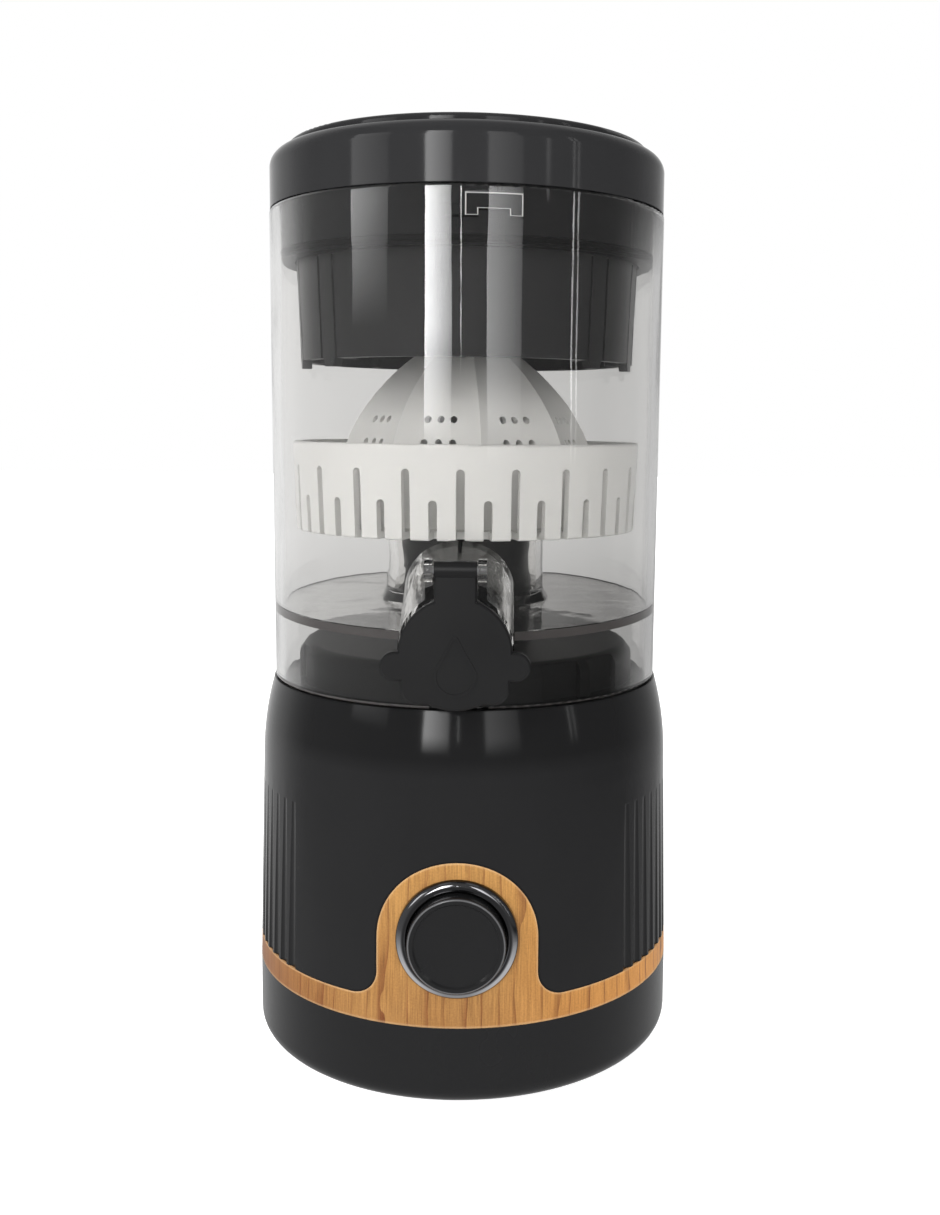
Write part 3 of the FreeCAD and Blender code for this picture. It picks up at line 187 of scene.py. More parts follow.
# Lid tracks in the cup: places, sizes and the painted highlight line along their edges, in metres
TRACK_COUNT = 3
TRACK_X = 0.0010
TRACK_W = 0.0145
TRACK_DROP = 0.0019
TRACK_H = 0.0041
TRACK_FOOT_W = 0.0033
TRACK_FOOT_H = 0.0017
TRACK_WALL_R = 0.05474
TRACK_LINE = 0.00028
TRACK_PROUD = 0.0001
TRACK_STEPS = 8

# Grey bands in the cup's wall, at its floor and at its foot, which are painted light seen through the clear
# plastic: sizes in metres and angles in degrees
LIGHT_BAND_T = 0.0002
LIGHT_BAND_STEPS = 120
JOINT_R = 0.0555
JOINT_Z = 0.1306
JOINT_H = 0.0023
JOINT_TILT = 2.3
JOINT_GAP = 15.0
FOOT_LINE_R = 0.0562
FOOT_LINE_RISE = 0.0007
FOOT_LINE_H = 0.0005
FOOT_LINE_GAP = 8.0

# Spring over the presser, in metres
SPRING_WIRE_R = 0.0008
SPRING_TURNS = 3.5
SPRING_STEPS = 48
SPRING_SIDES = 12

# Surround: how bright its left and right are for each way that light reaches it
# The edges and reaches are parts of a direction, between which one level gives way to the next
THROUGH_BACK = (0.81, 0.555)
THROUGH_HIGH = (0.6, 0.03)
THROUGH_LOW = (0.66, 0.39)
THROUGH_FRONT = (0.3, 0.08)
MIRROR_BACK = (1.1, 0.44)
MIRROR_FRONT = (0.42, 0.24)
MIRROR_LOW = (0.5, 0.1)
MIRROR_FLOOR = 0.68
SOFT_LIGHT = (1.68, 0.92)
BACK_EDGE = (0.1, 0.5)
HIGH_EDGE = (0.11, 0.16)
LOW_EDGE = (-0.09, -0.15)
FLOOR_EDGE = (-0.22, -0.45)
WIDE_REACH = 1.0
NARROW_REACH = 0.2

# Upright soft boxes: azimuth in degrees, width, lower and upper edge in metres, radiance, fade at the foot
STRIP_REACH = 1.2
STRIP_FADE = 0.25
STRIPS = {
    "key_strip": (-14.0, 0.30, 0.14, 0.9, 27.0, 0.14),
    "fill_strip": (22.0, 0.40, 0.12, 0.9, 6.2, 0.14),
    "left_strip": (-53.0, 0.48, 0.28, 0.9, 6.0, 0.14),
    "right_line": (61.5, 0.02, 0.12, 0.9, 11.0, 0.1),
    "right_line_2": (64.5, 0.02, 0.12, 0.9, 9.0, 0.1),
    "thin_line": (-1.9, 0.012, 0.22, 0.44, 24.0, 0.06),
    "lid_line": (46.0, 0.05, 0.42, 0.8, 6.0, 0.05),
}

# Soft box overhead and the floor, in metres
OVERHEAD_PLACE = (0.0, 0.1, 1.4)
OVERHEAD_SIZE = 1.4
OVERHEAD_RADIANCE = 0.3
FLOOR_HALF = 4.0
FLOOR_GREY = (0.8, 0.8, 0.8)
FLOOR_ROUGH = 0.8
FLOOR_GLOW = 0.75


# Node helpers

def new_material(name, colour, roughness, settings=None):
    """Material with one Principled shader; settings are set on its sockets by their names."""
    made = bpy.data.materials.new(name)
    made.use_nodes = True
    shader = made.node_tree.nodes["Principled BSDF"]
    shader.inputs["Base Color"].default_value = (*colour, 1.0)
    shader.inputs["Roughness"].default_value = roughness
    for socket, value in (settings or {}).items():
        shader.inputs[socket].default_value = value
    return made


def add_node(made, kind, **values):
    """New shader node; values are its properties or, where it has none of that name, its sockets."""
    node = made.node_tree.nodes.new(kind)
    for key, value in values.items():
        if hasattr(node, key):
            setattr(node, key, value)
        else:
            node.inputs[key].default_value = value
    return node


def join(made, value, into):
    """Link a socket into another, or set a plain number on it."""
    if isinstance(value, (int, float)):
        into.default_value = value
    else:
        made.node_tree.links.new(value, into)


def shader_of(made):
    return made.node_tree.nodes["Principled BSDF"]


def object_axes(made):
    """Object coordinates in metres, as sockets named X, Y and Z."""
    place = add_node(made, "ShaderNodeTexCoord")
    axes = add_node(made, "ShaderNodeSeparateXYZ")
    join(made, place.outputs["Object"], axes.inputs["Vector"])
    return axes.outputs


def stretched(made, scale):
    """Object coordinates in metres, multiplied by a scale for each axis."""
    place = add_node(made, "ShaderNodeTexCoord")
    mapping = add_node(made, "ShaderNodeMapping", Scale=scale)
    join(made, place.outputs["Object"], mapping.inputs["Vector"])
    return mapping.outputs["Vector"]


def noise(made, vector, detail=3.0, rough=0.55):
    texture = add_node(made, "ShaderNodeTexNoise", Scale=1.0, Detail=detail, Roughness=rough)
    join(made, vector, texture.inputs["Vector"])
    return texture.outputs["Fac"]


def spread(made, value, low, high, source=(0.3, 0.7)):
    """Value from a source range mapped to a low and a high end."""
    ranged = add_node(made, "ShaderNodeMapRange")
    for socket, number in zip(("From Min", "From Max", "To Min", "To Max"), (*source, low, high)):
        ranged.inputs[socket].default_value = number
    join(made, value, ranged.inputs["Value"])
    return ranged.outputs["Result"]


def arithmetic(made, operation, first, second):
    """Math node on two values, each a socket or a number."""
    node = add_node(made, "ShaderNodeMath", operation=operation)
    join(made, first, node.inputs[0])
    join(made, second, node.inputs[1])
    return node.outputs["Value"]


def between(made, factor, first, second):
    """Number that runs from the first to the second with a factor."""
    mix = add_node(made, "ShaderNodeMix", data_type="FLOAT")
    numbers = [socket for socket in mix.inputs if socket.type == "VALUE"]
    for value, socket in zip((factor, first, second), numbers):
        join(made, value, socket)
    return mix.outputs["Result"]


def two_tone(made, factor, first, second, blend_type="MIX"):
    """Colour that runs from the first to the second with a factor; each is a socket or a plain colour."""
    mix = add_node(made, "ShaderNodeMix", data_type="RGBA", blend_type=blend_type)
    colours = [socket for socket in mix.inputs if socket.type == "RGBA"]
    for colour, socket in zip((first, second), colours):
        if isinstance(colour, tuple):
            socket.default_value = (*colour, 1.0)
        else:
            join(made, colour, socket)
    join(made, factor, mix.inputs["Factor"])
    return [socket for socket in mix.outputs if socket.type == "RGBA"][0]


def bump(made, height, depth, rounded=0.0):
    """Bump of a depth in metres on the material's shader, over edges that look rounded by a radius."""
    node = add_node(made, "ShaderNodeBump", Strength=1.0, Distance=depth)
    join(made, height, node.inputs["Height"])
    if rounded:
        edge = add_node(made, "ShaderNodeBevel", samples=EDGE_SAMPLES, Radius=rounded)
        join(made, edge.outputs["Normal"], node.inputs["Normal"])
    join(made, node.outputs["Normal"], shader_of(made).inputs["Normal"])


def along_edges(made, radius):
    """Factor that is 1 along edges and 0 on the faces between them."""
    edge = add_node(made, "ShaderNodeBevel", samples=EDGE_SAMPLES, Radius=radius)
    face = add_node(made, "ShaderNodeNewGeometry")
    turn = add_node(made, "ShaderNodeVectorMath", operation="DOT_PRODUCT")
    join(made, edge.outputs["Normal"], turn.inputs[0])
    join(made, face.outputs["Normal"], turn.inputs[1])
    return spread(made, turn.outputs["Value"], 1.0, 0.0, EDGE_TURN)


def off_axis(made, node):
    """Distance from the line along Y through the middle of a node's box."""
    low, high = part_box(node)
    place = add_node(made, "ShaderNodeTexCoord")
    off = add_node(made, "ShaderNodeVectorMath", operation="SUBTRACT")
    join(made, place.outputs["Object"], off.inputs[0])
    off.inputs[1].default_value = (low + high) / 2
    flat = add_node(made, "ShaderNodeVectorMath", operation="MULTIPLY")
    join(made, off.outputs["Vector"], flat.inputs[0])
    flat.inputs[1].default_value = (1.0, 0.0, 1.0)
    size = add_node(made, "ShaderNodeVectorMath", operation="LENGTH")
    join(made, flat.outputs["Vector"], size.inputs[0])
    return size.outputs["Value"]


def moulded(name, colour, roughness, pale=1.25, grain=0.0004, depth=0.00001, rounded=0.0, settings=None):
    """Moulded plastic: fine spark-eroded grain, faint flow marks in its colour and uneven sheen."""
    made = new_material(name, colour, roughness, settings)
    shader = shader_of(made)
    flow = noise(made, stretched(made, FLOW_SCALE))
    lighter = tuple(min(1.0, part * pale) for part in colour)
    join(made, two_tone(made, flow, colour, lighter), shader.inputs["Base Color"])
    rough = [roughness * share for share in FLOW_ROUGH]
    join(made, spread(made, flow, *rough), shader.inputs["Roughness"])
    bump(made, noise(made, stretched(made, (1 / grain,) * 3), 2.0), depth, rounded)
    return made


def metal(name, colour, roughness, streak=(2500.0, 2500.0, 60.0)):
    """Metal with fine streaks of uneven polish."""
    made = new_material(name, colour, roughness, {"Metallic": 1.0})
    lines = noise(made, stretched(made, streak))
    rough = [roughness * share for share in STREAK_ROUGH]
    join(made, spread(made, lines, *rough), shader_of(made).inputs["Roughness"])
    darker = tuple(part * STREAK_DARK for part in colour)
    join(made, two_tone(made, lines, darker, colour), shader_of(made).inputs["Base Color"])
    return made


# Materials

def wood_material():
    """Sealed wood with thin wavy growth lines up the band, lighter and darker patches, a redder left side and
    fine fibres, with painted light on its right side and a painted highlight along its edges.
    """
    made = new_material("sealed_wood", WOOD_PLAIN, 0.42, {"Specular IOR Level": 0.22})
    axes = object_axes(made)
    front = arithmetic(made, "MULTIPLY", axes["Y"], -1.0)
    angle = arithmetic(made, "ARCTAN2", axes["X"], front)
    across = arithmetic(made, "MULTIPLY", angle, BAND_R)

    def patches(size, detail, rough=0.55):
        flat = add_node(made, "ShaderNodeCombineXYZ")
        join(made, arithmetic(made, "DIVIDE", across, size[0]), flat.inputs["X"])
        join(made, arithmetic(made, "DIVIDE", axes["Z"], size[1]), flat.inputs["Y"])
        return noise(made, flat.outputs["Vector"], detail, rough)

    bend = arithmetic(made, "MULTIPLY", patches(BEND_PATCH, 2.0, 0.45), RING_BEND)
    drift = arithmetic(made, "MULTIPLY", patches(DRIFT_PATCH, 1.0), RING_DRIFT)
    rings = arithmetic(made, "DIVIDE", arithmetic(made, "ADD", across, bend), RING_STEP)
    saw = arithmetic(made, "FRACT", arithmetic(made, "ADD", rings, drift), 0.0)
    late = arithmetic(made, "POWER", spread(made, saw, 0.0, 1.0, LATE_SPAN), LATE_POWER)
    faint = spread(made, patches(FAINT_PATCH, 1.0), FAINT_LEAST, 1.0, FAINT_SPAN)
    late = arithmetic(made, "MULTIPLY", late, faint)
    fibres = patches(FIBRE_PATCH, 3.0, 0.6)
    blotch = spread(made, patches(BLOTCH_PATCH, 2.0), 0.0, 1.0)
    ground = two_tone(made, blotch, WOOD_DARK, WOOD_LIGHT)
    back = spread(made, front, 1.0, 0.0, (0.0, -BAND_R))
    red = arithmetic(made, "MULTIPLY", spread(made, angle, 0.0, RED_SHARE, RED_SPAN), back)
    # Painted light: paler on the right side of the band
    pale = arithmetic(made, "MULTIPLY", spread(made, angle, 0.0, 1.0, PAINTED_LIGHT_SPAN), back)
    ground = two_tone(made, red, ground, WOOD_RED)
    ground = two_tone(made, pale, ground, WOOD_PAINTED_LIGHT)
    ground = two_tone(made, spread(made, axes["Z"], 0.0, ARCH_SHARE, ARCH_RISE), ground, WOOD_ARCH)
    ringed = two_tone(made, late, ground, WOOD_LINE)
    speckle = arithmetic(made, "MULTIPLY", patches(SPECKLE_PATCH, 1.0), SPECKLE_SHARE)
    grained = spread(made, arithmetic(made, "ADD", fibres, speckle), 0.0, 1.0, WEAVE_SPAN)
    weave = two_tone(made, grained, WEAVE_DARK, WEAVE_LIGHT)
    ringed = two_tone(made, 1.0, ringed, weave, "MULTIPLY")
    # Painted highlight: paler along the band's edges
    wood_highlight = arithmetic(made, "MULTIPLY", along_edges(made, WIDE_EDGE), EDGE_HIGHLIGHT_SHARE)
    join(made, two_tone(made, wood_highlight, ringed, WOOD_EDGE_HIGHLIGHT), shader_of(made).inputs["Base Color"])
    bump(made, arithmetic(made, "SUBTRACT", fibres, late), GRAIN_DEPTH, WIDE_EDGE)
    return made


def clear_material():
    """Clear moulded plastic with a faint warm grey tint and slight waves in its wall."""
    made = new_material("clear_plastic", CLEAR_TINT, CLEAR_ROUGH,
                        {"Transmission Weight": 1.0, "IOR": CLEAR_IOR, "Specular IOR Level": 0.5})
    waves = noise(made, stretched(made, WAVE_SCALE), 1.0)
    draw = arithmetic(made, "MULTIPLY", noise(made, stretched(made, DRAW_SCALE), 2.0), DRAW_SHARE)
    bump(made, arithmetic(made, "ADD", waves, draw), WAVE_DEPTH)
    return made


def chrome_material():
    """Polished chrome with a thin haze; its colour is painted shade on its inner slope, with painted
    highlights along its outer edge and inner lip and a painted reflection that is brighter on the lower
    sides.
    """
    made = new_material("polished_chrome", CHROME_PLAIN, 0.06, {"Metallic": 1.0})
    haze = noise(made, stretched(made, (CHROME_HAZE_SCALE,) * 3))
    join(made, spread(made, haze, *CHROME_ROUGH), shader_of(made).inputs["Roughness"])
    low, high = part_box("button_bezel")
    size = off_axis(made, "button_bezel")
    axes = object_axes(made)
    rim = (high.x - low.x) / 2
    # Painted highlights: a band along the outer edge and a line on the inner lip
    rise = spread(made, size, 0.0, 1.0, (rim - BEZEL_EDGE * BEZEL_EDGE_IN, rim - BEZEL_EDGE))
    fall = spread(made, size, 1.0, 0.0, tuple(rim - BEZEL_EDGE * share for share in BEZEL_EDGE_OUT))
    outer = arithmetic(made, "MULTIPLY", rise, fall)
    inner = spread(made, size, 1.0, 0.0, (BEZEL_LIP_HIGHLIGHT_R, BEZEL_LIP_HIGHLIGHT_R + BEZEL_EDGE * BEZEL_LIP_FADE))
    painted_highlight = arithmetic(made, "MAXIMUM", outer, inner)
    # Painted reflection: brighter on the lower sides, dimmer above
    lower = spread(made, axes["Z"], 1.0, 0.0, (low.z + rim * BEZEL_LOWER[0], high.z - rim * BEZEL_LOWER[1]))
    offset = arithmetic(made, "ABSOLUTE", axes["X"], 0.0)
    aside = spread(made, offset, BEZEL_FOOT_LEVEL, 1.0, tuple(rim * share for share in BEZEL_ASIDE))
    edge = two_tone(made, arithmetic(made, "MULTIPLY", lower, aside), CHROME_UPPER_REFLECTION, CHROME_LOWER_REFLECTION)
    join(made, two_tone(made, painted_highlight, CHROME_SLOPE_SHADE, edge), shader_of(made).inputs["Base Color"])
    return made


def housing_material():
    """Polished black shell with painted shade on its shoulder, darker along its sharp edges and dull on the
    deck under the cup.
    """
    made = moulded("housing_black", (0.0082, 0.0082, 0.0085), 0.09, depth=0.000002, rounded=MOULDED_EDGE,
                   settings={"Specular IOR Level": 0.11})
    shader = shader_of(made)
    height = object_axes(made)["Z"]
    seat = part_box("juice_cup")[0].z
    covered = spread(made, height, 0.0, 1.0, (seat - DECK_BLEND, seat))
    polish = shader.inputs["Roughness"].links[0].from_socket
    join(made, between(made, covered, polish, DECK_ROUGH), shader.inputs["Roughness"])
    black = shader.inputs["Base Color"].links[0].from_socket
    # Painted shade: the shoulder under the cup is darker
    darker = two_tone(made, 1.0, black, (SHOULDER_SHADE,) * 3, "MULTIPLY")
    black = two_tone(made, spread(made, height, 0.0, 1.0, SHOULDER_RISE), black, darker)
    join(made, two_tone(made, along_edges(made, WIDE_EDGE), black, EDGE_BLACK), shader.inputs["Base Color"])
    return made


def button_material():
    """Black moulded plastic with a thin painted highlight round the edge of the button's face."""
    made = moulded("button_black", (0.0055, 0.0055, 0.0058), 0.2, settings={"Specular IOR Level": 0.22})
    size = off_axis(made, "power_button")
    inside = spread(made, size, 0.0, 1.0, (BUTTON_LINE_R - BUTTON_LINE, BUTTON_LINE_R))
    outside = spread(made, size, 1.0, 0.0, (BUTTON_LINE_R, BUTTON_LINE_R + BUTTON_LINE))
    # Painted highlight in a thin ring round the face's edge
    line = arithmetic(made, "MULTIPLY", inside, outside)
    black = shader_of(made).inputs["Base Color"].links[0].from_socket
    join(made, two_tone(made, line, black, BUTTON_HIGHLIGHT), shader_of(made).inputs["Base Color"])
    return made


FAINT = {"Specular IOR Level": 0.3}
LOOKS = {
    "satin_black": moulded("satin_black", (0.0055, 0.0055, 0.0058), 0.25, rounded=MOULDED_EDGE,
                           settings={"Specular IOR Level": 0.22}),
    "housing_black": housing_material(),
    "flap_black": moulded("flap_black", (0.0042, 0.0042, 0.0044), 0.4, settings={"Specular IOR Level": 0.16}),
    "button_black": button_material(),
    "gloss_black": moulded("gloss_black", (0.0125, 0.0125, 0.013), 0.08, depth=0.000002, rounded=MOULDED_EDGE,
                           settings={"Specular IOR Level": 0.1}),
    "inner_black": moulded("inner_black", (0.022, 0.022, 0.0225), 0.35, settings=FAINT),
    "wood_grain": wood_material(),
    "foot_rubber": moulded("foot_rubber", (0.014, 0.014, 0.014), 0.75, grain=0.0002, settings=FAINT),
    "seal_rubber": moulded("seal_rubber", (0.003, 0.003, 0.003), 0.5, settings={"Specular IOR Level": 0.1}),
    "steel": metal("zinc_steel", (0.55, 0.55, 0.56), 0.32),
    "chrome_ring": chrome_material(),
    "board_green": moulded("board_green", (0.016, 0.11, 0.045), 0.35, pale=1.5),
    "switch_black": moulded("switch_black", (0.014, 0.014, 0.014), 0.45, settings=FAINT),
    "cell_wrap": moulded("cell_wrap", (0.03, 0.09, 0.25), 0.3, depth=0.000004),
    "brass_part": metal("machined_brass", (0.72, 0.5, 0.22), 0.25, (60.0, 60.0, 3000.0)),
    "gear_white": moulded("gear_white", (0.7, 0.69, 0.64), 0.45, pale=1.05),
    "case_grey": moulded("case_grey", (0.075, 0.075, 0.078), 0.5),
    "plate_aluminium": metal("plate_aluminium", (0.72, 0.72, 0.73), 0.35, (60.0, 2500.0, 2500.0)),
    "motor_steel": metal("motor_steel", (0.5, 0.5, 0.5), 0.3),
    "clear_plastic": clear_material(),
    # Pale colour of the lines along the lid tracks' edges: painted highlight
    "painted_edge_highlight": moulded("painted_edge_highlight", (0.72, 0.72, 0.7), 0.5, pale=1.05),
    # Grey of the bands in the cup's wall: painted light
    "painted_band_light": moulded("painted_band_light", (0.074, 0.066, 0.064), 0.5),
    "white_plastic": moulded("white_plastic", (0.8, 0.795, 0.775), 0.36, pale=1.05, depth=0.000006),
}

OWN_LOOKS = {
    "motor_housing": "housing_black",
    "spout_flap": "flap_black",
    "presser_retainer": "flap_black",
    "power_button": "button_black",
}

for row in frame["record"]["subparts"]:
    skin = nodes[row["node"]].data.materials
    skin.clear()
    skin.append(LOOKS[OWN_LOOKS.get(row["node"], row["material_slot"])])


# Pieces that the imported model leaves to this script

def piece(name, made, body, slot, look=None):
    """New object from a bmesh, on a body, with the look of a slot or one of its own."""
    bmesh.ops.recalc_face_normals(made, faces=made.faces)
    mesh = bpy.data.meshes.new(name)
    made.to_mesh(mesh)
    made.free()
    mesh.materials.append(LOOKS[look or slot])
    thing = bpy.data.objects.new(name, mesh)
    bpy.context.scene.collection.objects.link(thing)
    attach(thing, body)
    return thing


def bridge(made, rings, closed):
    """Faces between neighbouring rings of points, and from the last to the first where the row is closed."""
    after = rings[1:] + rings[:1] if closed else rings[1:]
    for here, there in zip(rings, after):
        for i in range(len(here)):
            step = (i + 1) % len(here)
            made.faces.new((here[i], here[step], there[step], there[i]))


def drop_outline(grow):
    """Points of a drop about its round end's centre: a circle below, drawn up to a point above."""
    radius = DROP_W / 2
    points = []
    for i in range(DROP_STEPS):
        angle = 2 * math.pi * i / DROP_STEPS
        rise = math.cos(angle)
        tip = max(0.0, rise) ** 3 * (DROP_H - DROP_W)
        lean = 1.0 - DROP_LEAN * max(0.0, rise) ** 2
        points.append(((radius + grow) * math.sin(angle) * lean, (radius + grow) * rise + tip))
    return points


def drop_sign():
    """Raised line round a drop on the flap's face."""
    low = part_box("spout_flap")[0]
    pin_low, pin_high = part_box("spout_hinge_pin")
    face = low.y + (pin_high.y - pin_low.y) * DROP_FACE
    centre = low.z + DROP_RISE
    made = bmesh.new()
    rings = []
    for grow, y in ((0.0, face + DROP_PROUD), (0.0, face - DROP_PROUD), (-DROP_LINE, face - DROP_PROUD),
                    (-DROP_LINE, face + DROP_PROUD)):
        rings.append([made.verts.new((x, y, centre + z)) for x, z in drop_outline(grow)])
    bridge(made, rings, True)
    return piece("drop_sign", made, "flap", "satin_black", "flap_black")


def track_outline(inset):
    """Points round a lid track, as places across the cup and up it: a bar with a foot at each end."""
    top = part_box("juice_cup")[1].z - TRACK_DROP
    low = top - TRACK_H
    foot = low - TRACK_FOOT_H
    left, right = TRACK_X, TRACK_X + TRACK_W
    inner_left, inner_right = left + TRACK_FOOT_W, right - TRACK_FOOT_W
    corners = [(left + inset, top - inset), (right - inset, top - inset), (right - inset, foot + inset),
               (inner_right + inset, foot + inset), (inner_right + inset, low + inset),
               (inner_left - inset, low + inset), (inner_left - inset, foot + inset),
               (left + inset, foot + inset)]
    points = []
    for here, there in zip(corners, corners[1:] + corners[:1]):
        for i in range(TRACK_STEPS):
            share = i / TRACK_STEPS
            points.append(tuple(a + (b - a) * share for a, b in zip(here, there)))
    return points


def track_edges():
    """Painted highlight lines along the sharp edges of the lid tracks, on the inside of the cup."""
    made = bmesh.new()
    for turn in range(TRACK_COUNT):
        about = Matrix.Rotation(2 * math.pi * turn / TRACK_COUNT, 4, "Z")
        rings = []
        for inset, radius in ((0.0, TRACK_WALL_R), (0.0, TRACK_WALL_R - TRACK_PROUD),
                              (TRACK_LINE, TRACK_WALL_R - TRACK_PROUD), (TRACK_LINE, TRACK_WALL_R)):
            rings.append([made.verts.new(about @ Vector((x, -math.sqrt(radius ** 2 - x ** 2), z)))
                          for x, z in track_outline(inset)])
        bridge(made, rings, True)
    return piece("track_edges", made, "cup", "clear_plastic", "painted_edge_highlight")


def light_band(name, radius, top, height, tilt, gap):
    """Grey band of painted light round the cup's wall, which slopes down to the front and leaves a gap there.
    """
    made = bmesh.new()
    slope = math.tan(math.radians(tilt))
    rings = []
    for i in range(LIGHT_BAND_STEPS + 1):
        angle = math.radians(gap + (360.0 - 2 * gap) * i / LIGHT_BAND_STEPS)
        ring = []
        for out, z in ((radius, top), (radius, top - height),
                       (radius - LIGHT_BAND_T, top - height), (radius - LIGHT_BAND_T, top)):
            y = -out * math.cos(angle)
            ring.append(made.verts.new((out * math.sin(angle), y, z + y * slope)))
        rings.append(ring)
    bridge(made, rings, False)
    made.faces.new(rings[0])
    made.faces.new(rings[-1])
    return piece(name, made, "cup", "clear_plastic", "painted_band_light")


def spring_coil():
    """Coil between the presser and the lid, carried by the lid in place of the model's spring."""
    low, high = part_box("press_spring")
    radius = (high.x - low.x) / 2 - SPRING_WIRE_R
    foot = low.z + SPRING_WIRE_R
    rise = high.z - SPRING_WIRE_R - foot
    climb = rise / SPRING_TURNS / (2 * math.pi)
    made = bmesh.new()
    rings = []
    count = round(SPRING_TURNS * SPRING_STEPS)
    for i in range(count + 1):
        angle = 2 * math.pi * i / SPRING_STEPS
        out = Vector((math.cos(angle), math.sin(angle), 0.0))
        way = Vector((-radius * math.sin(angle), radius * math.cos(angle), climb))
        across = way.normalized().cross(out)
        middle = out * radius + Vector((0.0, 0.0, foot + rise * i / count))
        ring = []
        for j in range(SPRING_SIDES):
            turn = 2 * math.pi * j / SPRING_SIDES
            spoke = out * math.cos(turn) + across * math.sin(turn)
            ring.append(made.verts.new(middle + spoke * SPRING_WIRE_R))
        rings.append(ring)
    bridge(made, rings, False)
    made.faces.new(rings[0])
    made.faces.new(rings[-1])
    coil = piece("spring_coil", made, "lid", "steel")
    for face in coil.data.polygons:
        face.use_smooth = len(face.vertices) == 4
    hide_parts("press_spring")
    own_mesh(coil)
    return coil


# Studio

def area_light(name, place, target, width, height, radiance):
    """Soft box that faces a target; radiance is what a mirror would show of it."""
    light = bpy.data.lights.new(name, "AREA")
    light.shape = "RECTANGLE"
    light.size = width
    light.size_y = height
    light.energy = radiance * math.pi * width * height
    made = bpy.data.objects.new(name, light)
    bpy.context.scene.collection.objects.link(made)
    made.location = place
    aim = Vector(target) - Vector(place)
    made.rotation_euler = aim.to_track_quat("-Z", "Y").to_euler()
    made.visible_camera = False
    made.visible_transmission = False
    return made


def strip(name, azimuth, width, low, high, radiance, fade):
    """Upright soft box round the object, dim along its right edge and at its foot; azimuth 0 is in front."""
    turn = math.radians(azimuth)
    middle = (low + high) / 2
    place = (STRIP_REACH * math.sin(turn), -STRIP_REACH * math.cos(turn), middle)
    made = area_light(name, place, (0.0, 0.0, middle), width, high - low, radiance)
    light = made.data
    light.use_nodes = True
    spot = add_node(light, "ShaderNodeNewGeometry")
    axes = add_node(light, "ShaderNodeSeparateXYZ")
    join(light, spot.outputs["Parametric"], axes.inputs["Vector"])
    across = spread(light, axes.outputs["X"], 1.0, STRIP_FADE, (0.0, 1.0))
    upward = spread(light, axes.outputs["Y"], 0.0, 1.0, (0.0, fade / (high - low)))
    level = arithmetic(light, "MULTIPLY", across, upward)
    join(light, level, light.node_tree.nodes["Emission"].inputs["Strength"])
    return made


def world():
    """White surround, with its own levels as soft light, in reflections and through the clear plastic."""
    made = bpy.data.worlds.new("studio")
    made.use_nodes = True
    made.node_tree.nodes.clear()
    place = add_node(made, "ShaderNodeTexCoord")
    axes = add_node(made, "ShaderNodeSeparateXYZ")
    join(made, place.outputs["Generated"], axes.inputs["Vector"])
    path = add_node(made, "ShaderNodeLightPath")
    behind = spread(made, axes.outputs["Y"], 0.0, 1.0, BACK_EDGE)

    def sideways(levels, reach):
        return spread(made, axes.outputs["X"], *levels, (-reach, reach))

    high = spread(made, axes.outputs["Z"], 0.0, 1.0, HIGH_EDGE)
    under = spread(made, axes.outputs["Z"], 0.0, 1.0, FLOOR_EDGE)
    low = spread(made, axes.outputs["Z"], 0.0, 1.0, LOW_EDGE)
    mirrored = between(made, low, sideways(MIRROR_FRONT, WIDE_REACH), sideways(MIRROR_LOW, WIDE_REACH))
    mirrored = between(made, behind, mirrored, sideways(MIRROR_BACK, WIDE_REACH))
    mirrored = between(made, under, mirrored, MIRROR_FLOOR)
    through = between(made, high, sideways(THROUGH_BACK, NARROW_REACH), sideways(THROUGH_HIGH, NARROW_REACH))
    through = between(made, low, through, sideways(THROUGH_LOW, NARROW_REACH))
    straight = arithmetic(made, "LESS_THAN", path.outputs["Glossy Depth"], 1.0)
    clear = arithmetic(made, "MAXIMUM", behind, straight)
    through = between(made, clear, sideways(THROUGH_FRONT, WIDE_REACH), through)
    soft = sideways(SOFT_LIGHT, WIDE_REACH)
    level = between(made, path.outputs["Is Glossy Ray"], soft, mirrored)
    level = between(made, path.outputs["Is Transmission Ray"], level, through)
    level = between(made, arithmetic(made, "MINIMUM", path.outputs["Diffuse Depth"], 1.0), level, soft)
    level = between(made, path.outputs["Is Camera Ray"], level, 1.0)
    surround = add_node(made, "ShaderNodeBackground", Color=(1.0, 1.0, 1.0, 1.0))
    join(made, level, surround.inputs["Strength"])
    end = add_node(made, "ShaderNodeOutputWorld")
    join(made, surround.outputs["Background"], end.inputs["Surface"])
    bpy.context.scene.world = made


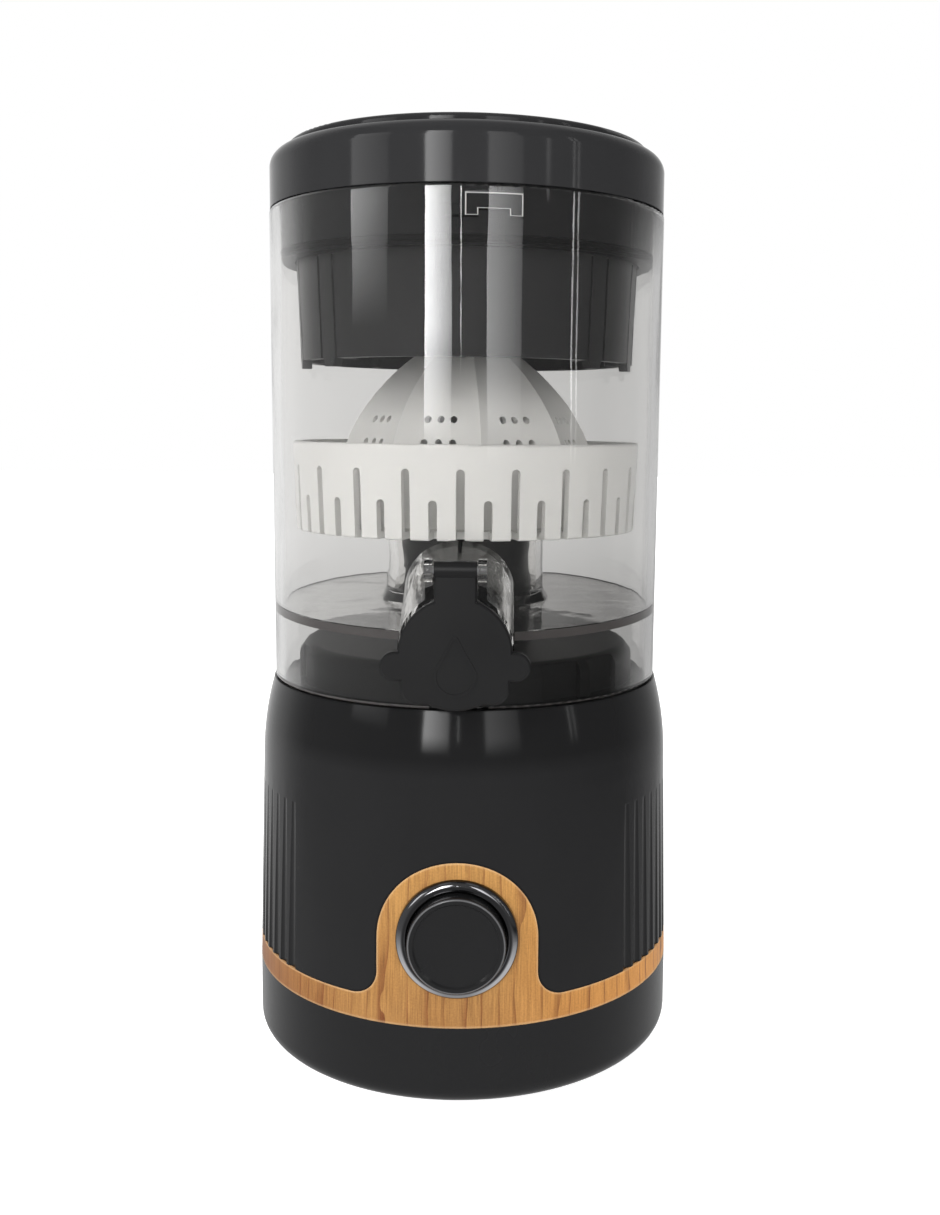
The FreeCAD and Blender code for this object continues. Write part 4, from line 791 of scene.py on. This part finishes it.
def floor():
    """Plain pale floor under the feet, lit as brightly as the surround."""
    mesh = bpy.data.meshes.new("floor")
    corners = [(x * FLOOR_HALF, y * FLOOR_HALF, 0.0) for x, y in ((-1, -1), (1, -1), (1, 1), (-1, 1))]
    mesh.from_pydata(corners, [], [(0, 1, 2, 3)])
    made = bpy.data.objects.new("floor", mesh)
    bpy.context.scene.collection.objects.link(made)
    pale = new_material("pale_floor", FLOOR_GREY, FLOOR_ROUGH,
                        {"Specular IOR Level": 0.0, "Emission Strength": FLOOR_GLOW,
                         "Emission Color": (1.0, 1.0, 1.0, 1.0)})
    made.data.materials.append(pale)
    made.visible_glossy = False
    made.visible_transmission = False
    return made


def camera():
    """Camera at the photograph's place and aim, with the photograph's framing as a shift."""
    lens = bpy.data.cameras.new("camera")
    lens.sensor_fit = "VERTICAL"
    lens.sensor_height = SENSOR
    lens.lens = SENSOR * FOCAL_PX / FRAME_H
    lens.shift_x = (FRAME_W / 2 - AXIS_COLUMN) / FRAME_H
    lens.shift_y = (AXIS_ROW - FRAME_H / 2) / FRAME_H
    lens.clip_start = NEAR_CLIP
    made = bpy.data.objects.new("camera", lens)
    bpy.context.scene.collection.objects.link(made)
    about = math.radians(CAMERA_ROUND)
    turn = Matrix.Rotation(about - math.radians(CAMERA_YAW), 4, "Z")
    pitch = Matrix.Rotation(math.radians(90.0 - CAMERA_PITCH), 4, "X")
    roll = Matrix.Rotation(math.radians(CAMERA_ROLL), 4, "Z")
    place = Vector((CAMERA_REACH * math.sin(about), -CAMERA_REACH * math.cos(about), CAMERA_Z))
    made.matrix_world = Matrix.Translation(place) @ turn @ pitch @ roll
    bpy.context.scene.camera = made
    return made


drop_sign()
track_edges()
# Bands of painted light at the cup's floor joint and along its foot
light_band("floor_joint", JOINT_R, JOINT_Z, JOINT_H, JOINT_TILT, JOINT_GAP)
foot_line_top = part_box("juice_cup")[0].z + FOOT_LINE_RISE
light_band("foot_line", FOOT_LINE_R, foot_line_top, FOOT_LINE_H, 0.0, FOOT_LINE_GAP)
spring_coil()
world()
floor()
for name, row in STRIPS.items():
    strip(name, *row)
area_light("overhead", OVERHEAD_PLACE, (0.0, 0.0, 0.0), OVERHEAD_SIZE, OVERHEAD_SIZE, OVERHEAD_RADIANCE)
camera()

bpy.context.scene.view_settings.view_transform = "Standard"
